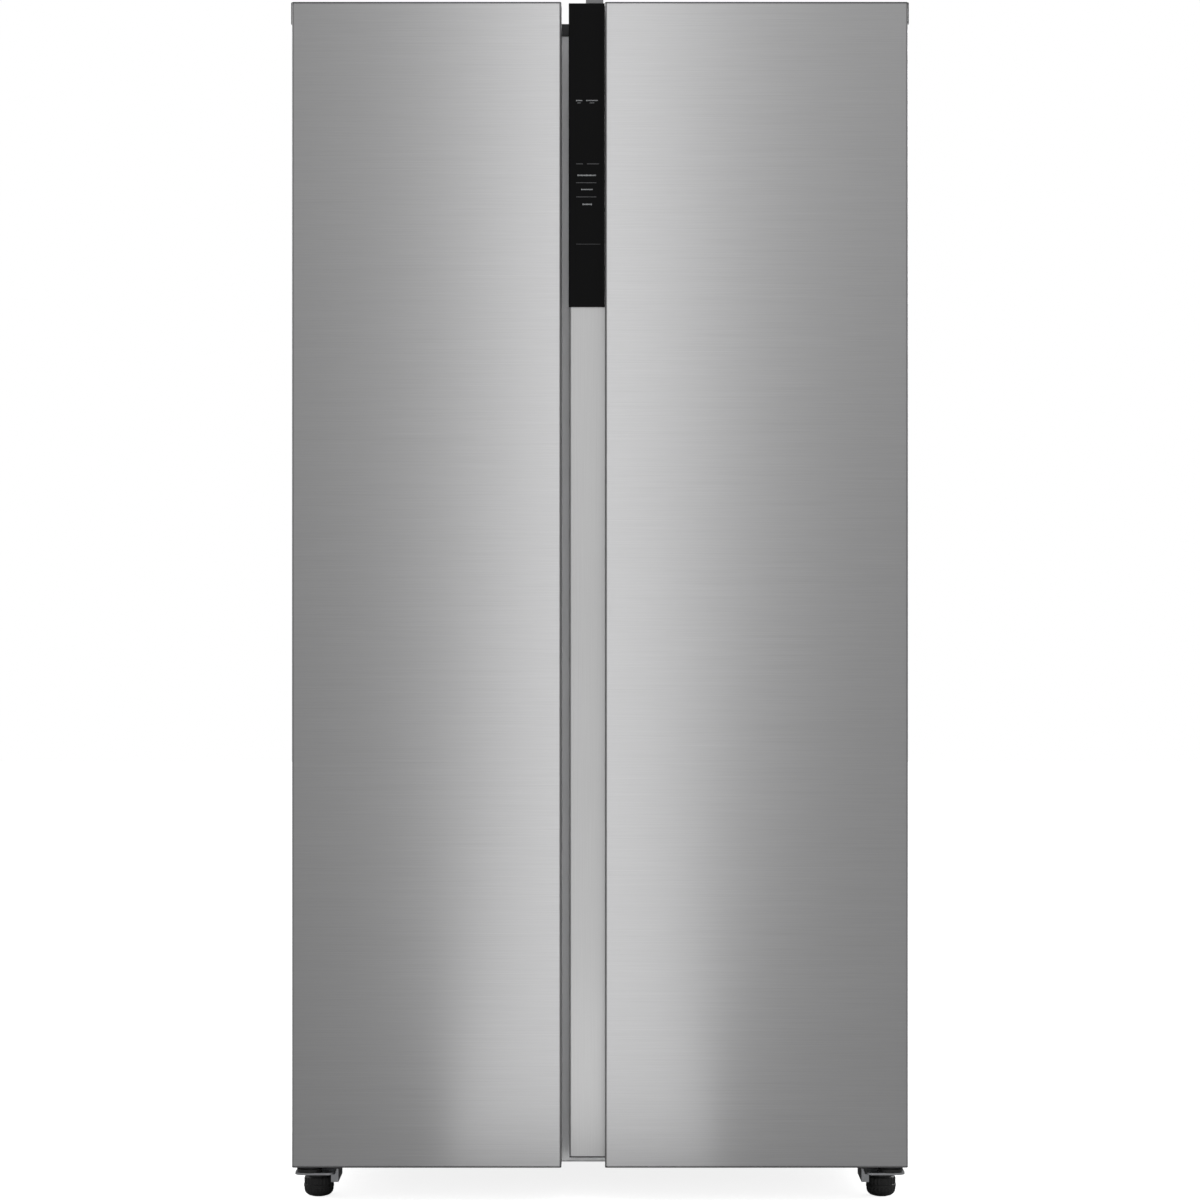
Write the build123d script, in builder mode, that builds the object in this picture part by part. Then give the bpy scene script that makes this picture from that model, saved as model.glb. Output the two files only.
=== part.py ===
from build123d import *

import os
from dataclasses import dataclass

# A free-standing side by side refrigerator: freezer on the left, refrigerator on the right.
# Millimetres. +Z is up, the doors face -Y, and the origin is on the floor under the middle of the body.

# ---------------------------------------------------------------- driving dimensions
DOORS_WIDTH = 908.0  # across both door faces
DEPTH = 700.0  # door face to the rearmost cover
DOOR_TOP = 1775.0
DOOR_BOTTOM = 57.0
DOOR_THICKNESS = 64.0
SEAL_GAP = 12.0  # between a closed door and the cabinet
CABINET_WIDTH = 906.0
CABINET_TOP = 1756.0
CABINET_BOTTOM = 52.0
CABINET_BACK = 336.0

SHEET = 1.0  # painted and stainless steel sheet
PLASTIC = 2.0  # vacuum formed liners
BEND = 2.5  # bend radius of a sheet's middle line
FIT = 0.2  # gap left between a filling and the skin around it
SEAM = 0.5  # gap between two sheets that meet edge to edge
SHAFT_FIT = 0.05  # radial clearance of pins in their bushes
SHAFT = 2.0  # radius of the fans' shafts

FRONT = -DEPTH / 2
REAR = DEPTH / 2
DOOR_BACK = FRONT + DOOR_THICKNESS
CABINET_FRONT = DOOR_BACK + SEAL_GAP
HALF_DOORS = DOORS_WIDTH / 2
HALF_CABINET = CABINET_WIDTH / 2

# Doors
RIM = 2.0  # end caps seen above and below the door sheet
LIP_DEPTH = 12.5  # door sheet folded round the grip edge
GRIP_DEPTH = 20.0  # how far fingers reach in behind a grip edge
PROFILE = 1.5  # wall of the handle profiles
CHANNEL_FLOOR = FRONT + 34.0  # front of the strip between the doors
CAP_DEPTH = 40.0  # how far an end cap reaches into a door
SKIRT = 1.3  # top cap standing proud of the hinge side
SKIRT_HEIGHT = 32.0
STRIP_BOTTOM = 66.0
PANEL_BOTTOM = 1328.3
PANEL_TOP = 1779.0
PANEL_THICKNESS = 3.2
DOOR_LINER = 2.5
DOOR_LINER_Z = (69.0, 1753.5)
RIDGE_BACK = -229.0  # crest of the raised frame inside a door
RIDGE_WIDTH = 34.0
BIN_BACK = -184.0
BIN_HEIGHTS = (200.0, 500.0, 800.0, 1100.0, 1400.0)
BIN_HEIGHT = 96.0
BIN_CORNER = 6.0

# Hinges
PIN = (430.0, -325.0)  # the right door's hinge pin; the left one mirrors it
PIN_RADIUS = 5.0
HINGE_PLATE = 3.0
POCKET_FLOOR = CABINET_TOP - 2.0
POCKET_FRONT = -344.5
POCKET_INNER = 365.0
HINGE_PAD = (378.0, -228.0)
ARM_END = (372.0, -262.0)
FOOT = (422.0, -262.0)
LOWER_PLATE = (44.5, 47.5)
CAM_REACH = 80.0  # top of the holes for the lower pins
STUD_HOLE = 8.0  # radius of the hole in the base over a front foot's stud
STUD_TOP = 82.0

# Compartments
FREEZER_X = (-395.0, -81.0)
FRIDGE_X = (-21.0, 403.0)
FLOOR = 110.0
CEILING = 1700.0
BACK_WALL = 275.0
STEP_Y = 60.0  # the hump over the compressor
STEP_Z = 320.0
CORNER = 15.0
SHELF_FRONT = -158.0
DRAWER_FRONT = -162.0
SHELF_HEIGHTS = (1400.0, 1120.0, 840.0, 560.0)
GLASS = 4.0
LEDGE = 7.0  # how far the supports under a shelf stand out of the side walls
SUPPORT_HEIGHT = 9.0
RAIL = 6.0  # side rails that drawers hang by
RAIL_TOP = 5.0  # from a drawer's top edge down to the underside of its rails
DRAWER_SIDE = 14.0  # room beside a drawer
DRAWER_HINGE_SIDE = 28.0  # more on the hinge side, so that the drawer passes the open door
FREEZER_DEEP = 190.0  # back edge of the shelves, in front of the duct cover
FRIDGE_DEEP = 250.0
FLANGE_TOP = CABINET_TOP - 17.0
SIDE_FLANGE = 15.0

# Machine compartment and back
SCREW_HEAD = 3.0
MACHINE_FRONT = 110.0
MACHINE_TOP = 270.0
COLD_FAN = (-238.0, 222.0, 1190.0)
WARM_FAN = (20.0, 224.0, 152.0)
COMPRESSOR = (-210.0, 224.0)
COIL = (96.0, 396.0), (134.0, 310.0), (74.0, 192.0)
TRAY = (100.0, 392.0), (138.0, 306.0), (200.0, 240.0)
ROLLER = (400.0, 285.0, 18.0)
ROLLER_RADIUS = 18.0
AXLE = 4.0
BASE = 2.0
GLAND = (-368.0, 104.0, 10.0)  # x, z and radius of the hole for the mains lead
ALL_X = (-500.0, 500.0)  # limits beyond the whole object, for cuts
ALL_Z = (0.0, 1800.0)
BEHIND = 400.0


@dataclass
class Door:
    """Where one door's pieces lie. side is -1 on the left and 1 on the right, and is also the direction
    along X from the door's free edge to its hinge."""

    name: str
    side: int
    grip: float  # x of the door face's free edge
    edge: float  # x of the door's own free side, behind the channel
    back: float  # y of the front of the wall behind the grip
    opening: tuple  # x limits of the compartment it closes
    deep: float  # y of the back of that compartment's shelves

    def core(self):
        """Boxes in x and y that fill the door inside its sheet and its handle profile."""
        hinge = self.side * (HALF_DOORS - SHEET - FIT)
        wall = self.grip + self.side * (GRIP_DEPTH + FIT + 0.6)
        tip = self.grip + self.side * (SHEET + FIT)
        free = self.edge + self.side * (PROFILE + FIT)
        front = FRONT + SHEET + FIT
        rear = DOOR_BACK - DOOR_LINER - 0.5
        return [
            (ordered(hinge, wall), (front, rear)),
            (ordered(wall, tip), (front, FRONT + LIP_DEPTH - SHEET - FIT)),
            (ordered(wall, free), (self.back + PROFILE + FIT, rear)),
        ]

    def ridge(self):
        """x and z limits of the raised frame that closes into the compartment."""
        hinge = self.opening[0 if self.side < 0 else 1] - self.side * 8
        free = self.opening[1 if self.side < 0 else 0] + self.side * 16
        return ordered(hinge, free), (FLOOR + 12, CEILING - 12)


FREEZER = Door("freezer", -1, -57.0, -57.0, -312.0, FREEZER_X, FREEZER_DEEP)
FRIDGE = Door("fridge", 1, 7.4, -45.5, CHANNEL_FLOOR, FRIDGE_X, FRIDGE_DEEP)


def ordered(a, b):
    """The two values, lowest first."""
    return (min(a, b), max(a, b))


def block(x, y, z, mode=Mode.ADD):
    """A box between the two limits given on each axis, put into the part being built."""
    with Locations(((x[0] + x[1]) / 2, (y[0] + y[1]) / 2, (z[0] + z[1]) / 2)):
        Box(abs(x[1] - x[0]), y[1] - y[0], z[1] - z[0], mode=mode)


def post(x, y, z, radius, mode=Mode.ADD):
    """An upright cylinder between two heights, put into the part being built."""
    with Locations((x, y, (z[0] + z[1]) / 2)):
        Cylinder(radius, z[1] - z[0], mode=mode)


def bent_sheet(points, radius, thickness):
    """The section of a sheet whose middle line runs through points, with rounded bends."""
    with BuildSketch(mode=Mode.PRIVATE) as section:
        with BuildLine():
            FilletPolyline(*points, radius=radius)
        trace(line_width=thickness)
    return section.sketch


# ---------------------------------------------------------------- cabinet sheet metal
def side_panel(side):
    """A side of the outer case, with the flange that a door seal closes on."""
    outer = side * (HALF_CABINET - SHEET / 2)
    flange = side * (HALF_CABINET - SIDE_FLANGE)
    front = CABINET_FRONT + SHEET / 2
    back = CABINET_BACK - SHEET / 2
    section = bent_sheet([(flange, front), (outer, front), (outer, back), (flange, back)], 1.5, SHEET)
    with BuildPart() as panel:
        with BuildSketch(Plane.XY.offset(CABINET_BOTTOM)):
            add(section)
        extrude(amount=CABINET_TOP - SHEET - CABINET_BOTTOM)
    return panel.part


def top_panel():
    """The top of the outer case, its front edge folded down."""
    sheet = (CABINET_TOP - SHEET, CABINET_TOP)
    fold = (FLANGE_TOP + SHEET, CABINET_TOP - SHEET / 2)
    half = HALF_CABINET - SIDE_FLANGE - SEAM
    with BuildPart() as panel:
        block((-HALF_CABINET, HALF_CABINET), (CABINET_FRONT, CABINET_BACK), sheet)
        block((-half, half), (CABINET_FRONT, CABINET_FRONT + SHEET), fold)
    return panel.part


def rear_panel():
    """The back sheet, stepped forward over the machine compartment and down to the base."""
    back = CABINET_BACK - SHEET / 2
    roof = MACHINE_TOP - SHEET / 2
    wall = MACHINE_FRONT + SHEET / 2
    points = [
        (back, CABINET_TOP - SHEET),
        (back, roof),
        (wall, roof),
        (wall, CABINET_BOTTOM + BASE),
    ]
    half = HALF_CABINET - SIDE_FLANGE - SEAM
    section = bent_sheet(points, BEND, SHEET)
    with BuildPart() as panel:
        with BuildSketch(Plane.YZ.offset(-half)):
            add(section)
        extrude(amount=2 * half)
    return panel.part


def base_plate():
    """The floor of the cabinet, with holes for the studs of the front feet."""
    half = HALF_CABINET - SHEET - SEAM
    z = (CABINET_BOTTOM, CABINET_BOTTOM + BASE)
    with BuildPart() as plate:
        block((-half, half), (CABINET_FRONT + SHEET + SEAM, CABINET_BACK - SHEET - SEAM), z)
        for side in (-1, 1):
            post(side * FOOT[0], FOOT[1], z, STUD_HOLE, mode=Mode.SUBTRACT)
    return plate.part


# ---------------------------------------------------------------- compartments
def cavity(x, grow=0.0):
    """The space inside a compartment, stepped over the compressor and grown outwards all round."""
    mouth = CABINET_FRONT - 5
    corner, side_corner = CORNER + grow, CORNER - 3 + grow
    points = [
        (mouth, FLOOR - grow),
        (STEP_Y + grow, FLOOR - grow),
        (STEP_Y + grow, STEP_Z - grow),
        (BACK_WALL + grow, STEP_Z - grow),
        (BACK_WALL + grow, CEILING + grow),
        (mouth, CEILING + grow),
    ]
    with BuildPart() as space:
        with BuildSketch(Plane.YZ.offset(x[0] - grow)):
            with BuildLine():
                bends = (corner, CORNER - grow, corner, corner)
                FilletPolyline(*points, radius=bends)
                Line(points[-1], points[0])
            make_face()
        extrude(amount=x[1] - x[0] + 2 * grow)
        ends = space.faces().sort_by(Axis.X)
        rounded = [e for end in (ends[0], ends[-1]) for e in end.edges() if e.center().Y > mouth + 1]
        fillet(rounded, radius=side_corner)
    return space.part


def drawer_spaces(door):
    """x, y and z limits of a compartment's lower drawer, over which the hump stands, and its upper one."""
    rooms = (DRAWER_HINGE_SIDE, DRAWER_SIDE)[:: -door.side]
    inside = (door.opening[0] + rooms[0], door.opening[1] - rooms[1])
    lower = inside, (DRAWER_FRONT, STEP_Y - 10), (FLOOR + 6, STEP_Z - 12)
    upper = inside, (DRAWER_FRONT, door.deep), (STEP_Z + 8, SHELF_HEIGHTS[-1] - 22)
    return lower, upper


def liner(door, flange):
    """A compartment's plastic liner: the formed tub and its front flange."""
    inside, outside = cavity(door.opening), cavity(door.opening, PLASTIC)
    flange_y = (CABINET_FRONT, CABINET_FRONT + PLASTIC)
    with BuildPart() as tub:
        add(outside)
        block(flange, flange_y, (CABINET_BOTTOM + BASE + SEAM, FLANGE_TOP))
        add(inside, mode=Mode.SUBTRACT)
        block(ALL_X, (CABINET_FRONT - 10, CABINET_FRONT), ALL_Z, mode=Mode.SUBTRACT)
    return tub.part


def shelf_supports():
    """Bars on the side walls of both compartments, under each shelf and each drawer's rails."""
    front = SHELF_FRONT + 16
    with BuildPart() as supports:
        for door in (FREEZER, FRIDGE):
            walls = door.opening
            for height in SHELF_HEIGHTS:
                z = (height - SUPPORT_HEIGHT, height)
                block((walls[0], walls[0] + LEDGE), (front, door.deep), z)
                block((walls[1] - LEDGE, walls[1]), (front, door.deep), z)
            for x, y, z in drawer_spaces(door):
                top = z[1] - RAIL_TOP - FIT - 0.1
                limits = (front, y[1] - 12), (top - SUPPORT_HEIGHT, top)
                block((walls[0], x[0] - RAIL / 2), *limits)
                block((x[1] + RAIL / 2, walls[1]), *limits)
    return supports.part


def cabinet_insulation():
    """Foam between the outer case and both liners."""
    half = HALF_CABINET - SHEET - FIT
    y = (CABINET_FRONT + PLASTIC + FIT, CABINET_BACK - SHEET - FIT)
    z = (CABINET_BOTTOM + BASE + FIT, CABINET_TOP - SHEET - FIT)
    bend_room = 4
    compartments = [cavity(x, PLASTIC + FIT) for x in (FREEZER_X, FRIDGE_X)]
    machine_y = (MACHINE_FRONT - FIT, BEHIND)
    bend_y = (CABINET_BACK - SHEET - bend_room, BEHIND)
    flange_y = (CABINET_BACK - 2 * SHEET, BEHIND)
    with BuildPart() as foam:
        block((-half, half), y, z)
        block(ALL_X, machine_y, (0, MACHINE_TOP + FIT), mode=Mode.SUBTRACT)
        block(ALL_X, bend_y, (0, MACHINE_TOP + bend_room), mode=Mode.SUBTRACT)
        for compartment in compartments:
            add(compartment, mode=Mode.SUBTRACT)
        for side in (-1, 1):
            edge = ordered(side * (HALF_CABINET - SIDE_FLANGE - 38), side * ALL_X[1])
            stud_z = (CABINET_BOTTOM, STUD_TOP + 8)
            post(side * FOOT[0], FOOT[1], stud_z, STUD_HOLE, mode=Mode.SUBTRACT)
            block(edge, flange_y, ALL_Z, mode=Mode.SUBTRACT)
    return foam.part


def partition_rail():
    """The steel strip on the front of the wall between the compartments."""
    x = (FREEZER_X[1] + PLASTIC, FRIDGE_X[0] - PLASTIC)
    middle, bead = (x[0] + x[1]) / 2, 4
    bottom = CABINET_BOTTOM + BASE + SEAM
    with BuildPart() as rail:
        block(x, (CABINET_FRONT, CABINET_FRONT + PLASTIC), (bottom, FLANGE_TOP))
        block((middle - bead, middle + bead), (CABINET_FRONT - 1, CABINET_FRONT), (bottom, FLANGE_TOP - 2))
    return rail.part


def top_front_trim():
    """The dark strip along the cabinet's top front edge."""
    with BuildPart() as trim:
        block((-380, 380), (CABINET_FRONT - 4, CABINET_FRONT), (FLANGE_TOP - 1, CABINET_TOP))
        fillet(trim.edges().filter_by(Axis.X).group_by(Axis.Y)[0], 1.2)
    return trim.part


# ---------------------------------------------------------------- inside the cabinet
def glass_shelves():
    """The tempered glass shelves of both compartments, which lie on the supports, one solid each."""
    with BuildPart() as glass:
        for door in (FREEZER, FRIDGE):
            x = (door.opening[0] + 2, door.opening[1] - 2)
            for height in SHELF_HEIGHTS:
                block(x, (SHELF_FRONT, door.deep), (height, height + GLASS))
        fillet(glass.edges().filter_by(Axis.Z), 5)
    return glass.part


def shelf_trims():
    """Front rails clipped along the glass shelves, one solid each."""
    with BuildPart() as rails:
        for x in (FREEZER_X, FRIDGE_X):
            for height in SHELF_HEIGHTS:
                span = (x[0] + 2.5, x[1] - 2.5)
                block(span, (SHELF_FRONT - 9, SHELF_FRONT), (height - 7, height + 9))
                block(span, (SHELF_FRONT, SHELF_FRONT + 12), (height - 3, height))
    with BuildPart() as rounded:
        for rail in rails.solids():
            add(rail.fillet(3, rail.edges().filter_by(Axis.X).group_by(Axis.Y)[0]))
    return rounded.part


def open_tub(x, y, z, corner, wall):
    """A plastic tub with rounded corners, open at the top."""
    with BuildPart() as tub:
        block(x, y, z)
        fillet(tub.edges().filter_by(Axis.Z), corner)
        fillet(tub.faces().sort_by(Axis.Z)[0].edges(), corner / 2)
        offset(amount=-wall, openings=tub.faces().sort_by(Axis.Z)[-1])
    return tub.part


def drawer(x, y, z):
    """A drawer: a tub that hangs by side rails, with a front panel and its grip recess."""
    middle = (x[0] + x[1]) / 2
    panel, half_grip = 5, 60
    rail_y, rail_z = (y[0] + 20, y[1] - 20), (z[1] - RAIL_TOP, z[1] - RAIL_TOP + 3)
    grip_y, grip_z = (y[0] - 1, y[0] + 2), (z[1] - 40, z[1] - 14)
    tub = open_tub(x, (y[0] + 3, y[1]), z, 12, 2.5)
    with BuildPart() as drawer_part:
        add(tub)
        block(x, (y[0], y[0] + panel), z)
        fillet(drawer_part.faces().sort_by(Axis.Y)[0].edges(), 2)
        for wall, outward in ((x[0], -1), (x[1], 1)):
            block(ordered(wall - outward, wall + outward * RAIL), rail_y, rail_z)
        block((middle - half_grip, middle + half_grip), grip_y, grip_z, mode=Mode.SUBTRACT)
    return drawer_part.part


def freezer_duct_cover():
    """The cover over the evaporator: a shallow box with air slots and a round fan grille."""
    x, y, z = (FREEZER_X[0] + 13, FREEZER_X[1] - 13), (196.0, BACK_WALL - SEAM), (STEP_Z + 18, 1660.0)
    wall, half_slot, slot_height = 3, 75, 8
    slots = (420, 440, 460, 480, 760, 780, 1040, 1060, 1480, 1500, 1520)
    with BuildPart() as cover:
        block(x, y, z)
        fillet(cover.edges().filter_by(Axis.Y), 16)
        fillet(cover.faces().sort_by(Axis.Y)[0].edges(), 6)
        inside = (x[0] + wall, x[1] - wall), (y[0] + wall, y[1] + 1), (z[0] + wall, z[1] - wall)
        block(*inside, mode=Mode.SUBTRACT)
        with Locations(*[(COLD_FAN[0], y[0], height) for height in slots]):
            Box(2 * half_slot, 10, slot_height, mode=Mode.SUBTRACT)
        with Locations(Location((COLD_FAN[0], y[0], COLD_FAN[2]), (90, 0, 0))):
            with PolarLocations(38, 12):
                Box(34, 7, 20, mode=Mode.SUBTRACT)
    return cover.part


def fridge_duct_cover():
    """The air tower on the refrigerator's back wall, with a row of outlets."""
    middle, half, depth = (FRIDGE_X[0] + FRIDGE_X[1]) / 2, 75, 20
    z, wall = (620, 1620), 3
    outlets = (700, 860, 1010, 1160, 1380, 1530)
    slots = [(middle + dx, height + dz) for height in outlets for dx in (-38, 38) for dz in (-9, 0, 9)]
    with BuildPart() as tower:
        block((middle - half, middle + half), (BACK_WALL - depth, BACK_WALL), z)
        fillet(tower.edges().filter_by(Axis.Y), 20)
        fillet(tower.faces().sort_by(Axis.Y)[0].edges(), 6)
        inside = (middle - half + 5, middle + half - 5), (BACK_WALL - depth + wall, BACK_WALL + 1)
        block(*inside, (z[0] + depth, z[1] - depth), mode=Mode.SUBTRACT)
        with Locations(*[(x, BACK_WALL - depth, height) for x, height in slots]):
            Box(46, 20, 4, mode=Mode.SUBTRACT)
    return tower.part


def interior_lights():
    """A light cover in each compartment's ceiling."""
    with BuildPart() as covers:
        for x in (FREEZER_X, FRIDGE_X):
            middle = (x[0] + x[1]) / 2
            block((middle - 65, middle + 65), (-110, -50), (CEILING - 9, CEILING))
    with BuildPart() as rounded:
        for cover in covers.solids():
            add(cover.fillet(6, cover.edges().filter_by(Axis.Z) + cover.faces().sort_by(Axis.Z)[0].edges()))
    return rounded.part


def evaporator():
    """The cold coil in its fins, and the fan's motor on its bracket above it."""
    x, y, z = (FREEZER_X[0] + 30, FREEZER_X[1] - 30), (214.0, 262.0), (600.0, 960.0)
    tube, bend, rows, row_pitch, fins, fin_half = 4, 8, 7, 50, 24, 0.3
    middle = (x[0] + x[1]) / 2
    columns = (y[0] + 14, y[0] + 34)
    levels = [z[0] + 30 + row_pitch * row for row in range(rows)]
    fin_pitch = (x[1] - x[0] - 20) / (fins - 1)
    with BuildPart() as coil:
        for height in levels:
            for depth in columns:
                with Locations(Location((middle, depth, height), (0, 90, 0))):
                    Cylinder(tube, x[1] - x[0] + 2 * bend)
            for end in (x[0] - bend, x[1] + bend):
                turn_y = (columns[0] - tube, columns[1] + tube)
                block((end - tube, end + tube), turn_y, (height - tube, height + tube))
        for fin in range(fins):
            left = x[0] + 10 + fin_pitch * fin
            block((left - fin_half, left + fin_half), y, z)
    fan_x, fan_y, fan_z = COLD_FAN
    with BuildPart() as motor:
        with Locations(Location((fan_x, fan_y + 20, fan_z), (90, 0, 0))):
            Cylinder(22, 24)
        with Locations(Location(COLD_FAN, (90, 0, 0))):
            Cylinder(SHAFT, 40)
        block((fan_x - 80, fan_x + 80), (fan_y + 28, fan_y + 32), (fan_z - 12, fan_z + 12))
    with BuildPart() as both:
        add(coil.part)
        add(motor.part)
    return both.part


def fan_wheel(radius, hub, width):
    """A fan of five pitched blades on a hub, made flat on the XY plane."""
    bore = SHAFT + SHAFT_FIT
    with BuildPart() as wheel:
        Cylinder(hub, width)
        with PolarLocations((hub + radius) / 2 - 1, 5):
            with Locations(Location((0, 0, 0), (32, 0, 0))):
                Box(radius - hub + 3, width * 1.1, 1.6)
        Cylinder(bore, width * 2, mode=Mode.SUBTRACT)
        chamfer(wheel.edges().filter_by(GeomType.CIRCLE).sort_by(SortBy.RADIUS)[-1:], 0.5)
    return wheel.part


def fan(wheel, place, turn):
    """A fan wheel where it turns."""
    with BuildPart() as placed:
        with Locations(Location(place, turn)):
            add(wheel)
    return placed.part


# ---------------------------------------------------------------- machine compartment
def compressor():
    """The welded steel shell of the compressor on its foot plate and rubber grommets."""
    x, y = COMPRESSOR
    floor = CABINET_BOTTOM + BASE
    with BuildPart() as pump:
        post(0, 0, (floor + 14, floor + 166), 74)
        fillet(pump.edges().group_by(Axis.Z)[-1], 52)
        fillet(pump.edges().group_by(Axis.Z)[0], 24)
        post(0, 0, (floor + 71, floor + 77), 77)
    with BuildPart() as pump_set:
        with Locations((x, y, 0)):
            add(pump.part)
        block((x - 96, x + 96), (y - 62, y + 62), (floor + 10, floor + 14))
        for dx in (-84, 84):
            for dy in (-50, 50):
                post(x + dx, y + dy, (floor, floor + 22), 9)
        for dy in (-30, 30):
            with Locations(Location((x + 82, y + dy, floor + 96), (0, 90, 0))):
                Cylinder(4, 40)
        block((x - 92, x - 60), (y - 24, y + 24), (floor + 60, floor + 104))
    return pump_set.part


def condenser_coil():
    """Three layers of tube that run back and forth across the air stream, between side plates."""
    x, y, z = COIL
    layers, runs, margin, tube = 3, 6, 12, 3
    middle = ((x[0] + x[1]) / 2, (y[0] + y[1]) / 2, (z[0] + z[1]) / 2)
    layer_pitch = (z[1] - z[0] - 2 * margin) / (layers - 1)
    run_pitch = (y[1] - y[0] - 2 * margin) / (runs - 1)
    with BuildPart() as coil:
        with Locations(Location(middle, (0, 90, 0))):
            with GridLocations(layer_pitch, run_pitch, layers, runs):
                Cylinder(tube, x[1] - x[0])
        for plate in (x[0] + 6, middle[0], x[1] - 6):
            block((plate - 1, plate + 1), y, (CABINET_BOTTOM + BASE, z[1]))
    return coil.part


def fan_frame():
    """The condenser fan's square shroud with its motor and arms, air passing along X."""
    x, y, z = WARM_FAN
    size, deep = 150.0, 26.0
    with BuildPart() as frame:
        block((x - deep / 2, x + deep / 2), (y - size / 2, y + size / 2), (z - size / 2, z + size / 2))
        with Locations(Location((x, y, z), (0, 90, 0))):
            Cylinder(66, deep + 2, mode=Mode.SUBTRACT)
        block((x + 7, x + 11), (y - 70, y + 70), (z - 6, z + 6))
        with Locations(Location((x + 20, y, z), (0, 90, 0))):
            Cylinder(20, 26)
        with Locations(Location((x - 3, y, z), (0, 90, 0))):
            Cylinder(SHAFT, 24)
        block((x - 10, x + 10), (y - 60, y + 60), (CABINET_BOTTOM + BASE, z - size / 2))
    return frame.part


def drain_tray():
    """The pan that catches and evaporates defrost water."""
    return open_tub(*TRAY, 10, PLASTIC)


def machine_cover():
    """The louvred cover on the back of the machine compartment, with the mains lead's gland."""
    y = (CABINET_BACK, CABINET_BACK + 1.6)
    half, columns, rows, gland_rows = 440, 9, 7, 2
    places = [(column, row) for column in range(columns) for row in range(rows)]
    slots = [(GLAND[0] + 92 * column, y[0], 96 + 24 * row) for column, row in places]
    with BuildPart() as cover:
        block((-half, half), y, (CABINET_BOTTOM + 6, MACHINE_TOP - 4))
        fillet(cover.edges().filter_by(Axis.Y), 8)
        with Locations(*slots[gland_rows:]):
            Box(66, 10, 6, mode=Mode.SUBTRACT)
        with Locations(Location((GLAND[0], y[0], GLAND[1]), (90, 0, 0))):
            Cylinder(GLAND[2], 10, mode=Mode.SUBTRACT)
    return cover.part


def mains_gland():
    """The gland where the mains lead would come out of the machine compartment."""
    x, z, radius = GLAND
    lead = 4
    with BuildPart() as gland:
        with Locations(Location((x, CABINET_BACK - 2, z), (90, 0, 0))):
            Cylinder(radius - 0.1, 16)
        with Locations(Location((x, CABINET_BACK + 5.1, z), (90, 0, 0))):
            Cylinder(radius + 3, 7)
        with Locations(Location((x, CABINET_BACK, z), (90, 0, 0))):
            Cylinder(lead, 40, mode=Mode.SUBTRACT)
        fillet(gland.edges().filter_by(GeomType.CIRCLE).group_by(Axis.Y)[-1], 1)
    return gland.part


def control_board_cover():
    """The cover of the main control board, screwed to the upper back; it also spaces the back off a wall."""
    half, z, wall, edge = 130, (1500, 1680), 3, 10
    back = REAR - SCREW_HEAD
    with BuildPart() as cover:
        block((-half, half), (CABINET_BACK, back), z)
        fillet(cover.edges().filter_by(Axis.Y), edge)
        fillet(cover.faces().sort_by(Axis.Y)[-1].edges(), 4)
        inside = (-half + edge, half - edge), (CABINET_BACK - 1, back - wall), (z[0] + edge, z[1] - edge)
        block(*inside, mode=Mode.SUBTRACT)
    return cover.part


# ---------------------------------------------------------------- hinges and feet
def top_hinge_outline(side, grow=0.0):
    """The upper hinge plate seen from above: a pad on the cabinet and an arm out to the pin."""
    with BuildSketch(mode=Mode.PRIVATE) as arm:
        with Locations((side * PIN[0], PIN[1])):
            Circle(14 + grow)
        with Locations((side * ARM_END[0], ARM_END[1])):
            Circle(16 + grow)
        make_hull()
    with BuildSketch(mode=Mode.PRIVATE) as outline:
        add(arm.sketch)
        with Locations((side * HINGE_PAD[0], HINGE_PAD[1])):
            RectangleRounded(96 + 2 * grow, 66 + 2 * grow, 8 + grow)
    return outline.sketch


def hinge_screw_places(side):
    """Where screws hold an upper hinge to the top of the cabinet."""
    dx, dy = 34, 16
    x, y = HINGE_PAD
    return [(side * (x + i * dx), y + j * dy - 4) for i in (-1, 1) for j in (-0.5, 1.5)]


def top_hinge(side):
    """An upper hinge: the plate and the pin that hangs down into the door."""
    x = side * PIN[0]
    outline = top_hinge_outline(side)
    with BuildPart() as hinge:
        with BuildSketch(Plane.XY.offset(CABINET_TOP)):
            add(outline)
        extrude(amount=HINGE_PLATE)
        post(x, PIN[1], (CABINET_TOP - 18, CABINET_TOP + 6), PIN_RADIUS)
        for place in hinge_screw_places(side):
            post(*place, (CABINET_TOP - 1, CABINET_TOP + 5), 3, mode=Mode.SUBTRACT)
    return hinge.part


def hinge_cover(side):
    """The plastic cover that hides an upper hinge, no higher than the doors."""
    height, roof = DOOR_TOP - CABINET_TOP - 1, 2.5
    outside, inside = top_hinge_outline(side, 4), top_hinge_outline(side, 2)
    with BuildPart() as cover:
        with BuildSketch(Plane.XY.offset(CABINET_TOP)):
            add(outside)
        extrude(amount=height)
        fillet(cover.faces().sort_by(Axis.Z)[-1].edges(), 2)
        with BuildSketch(Plane.XY.offset(CABINET_TOP)):
            add(inside)
        extrude(amount=height - roof, mode=Mode.SUBTRACT)
    return cover.part


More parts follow.
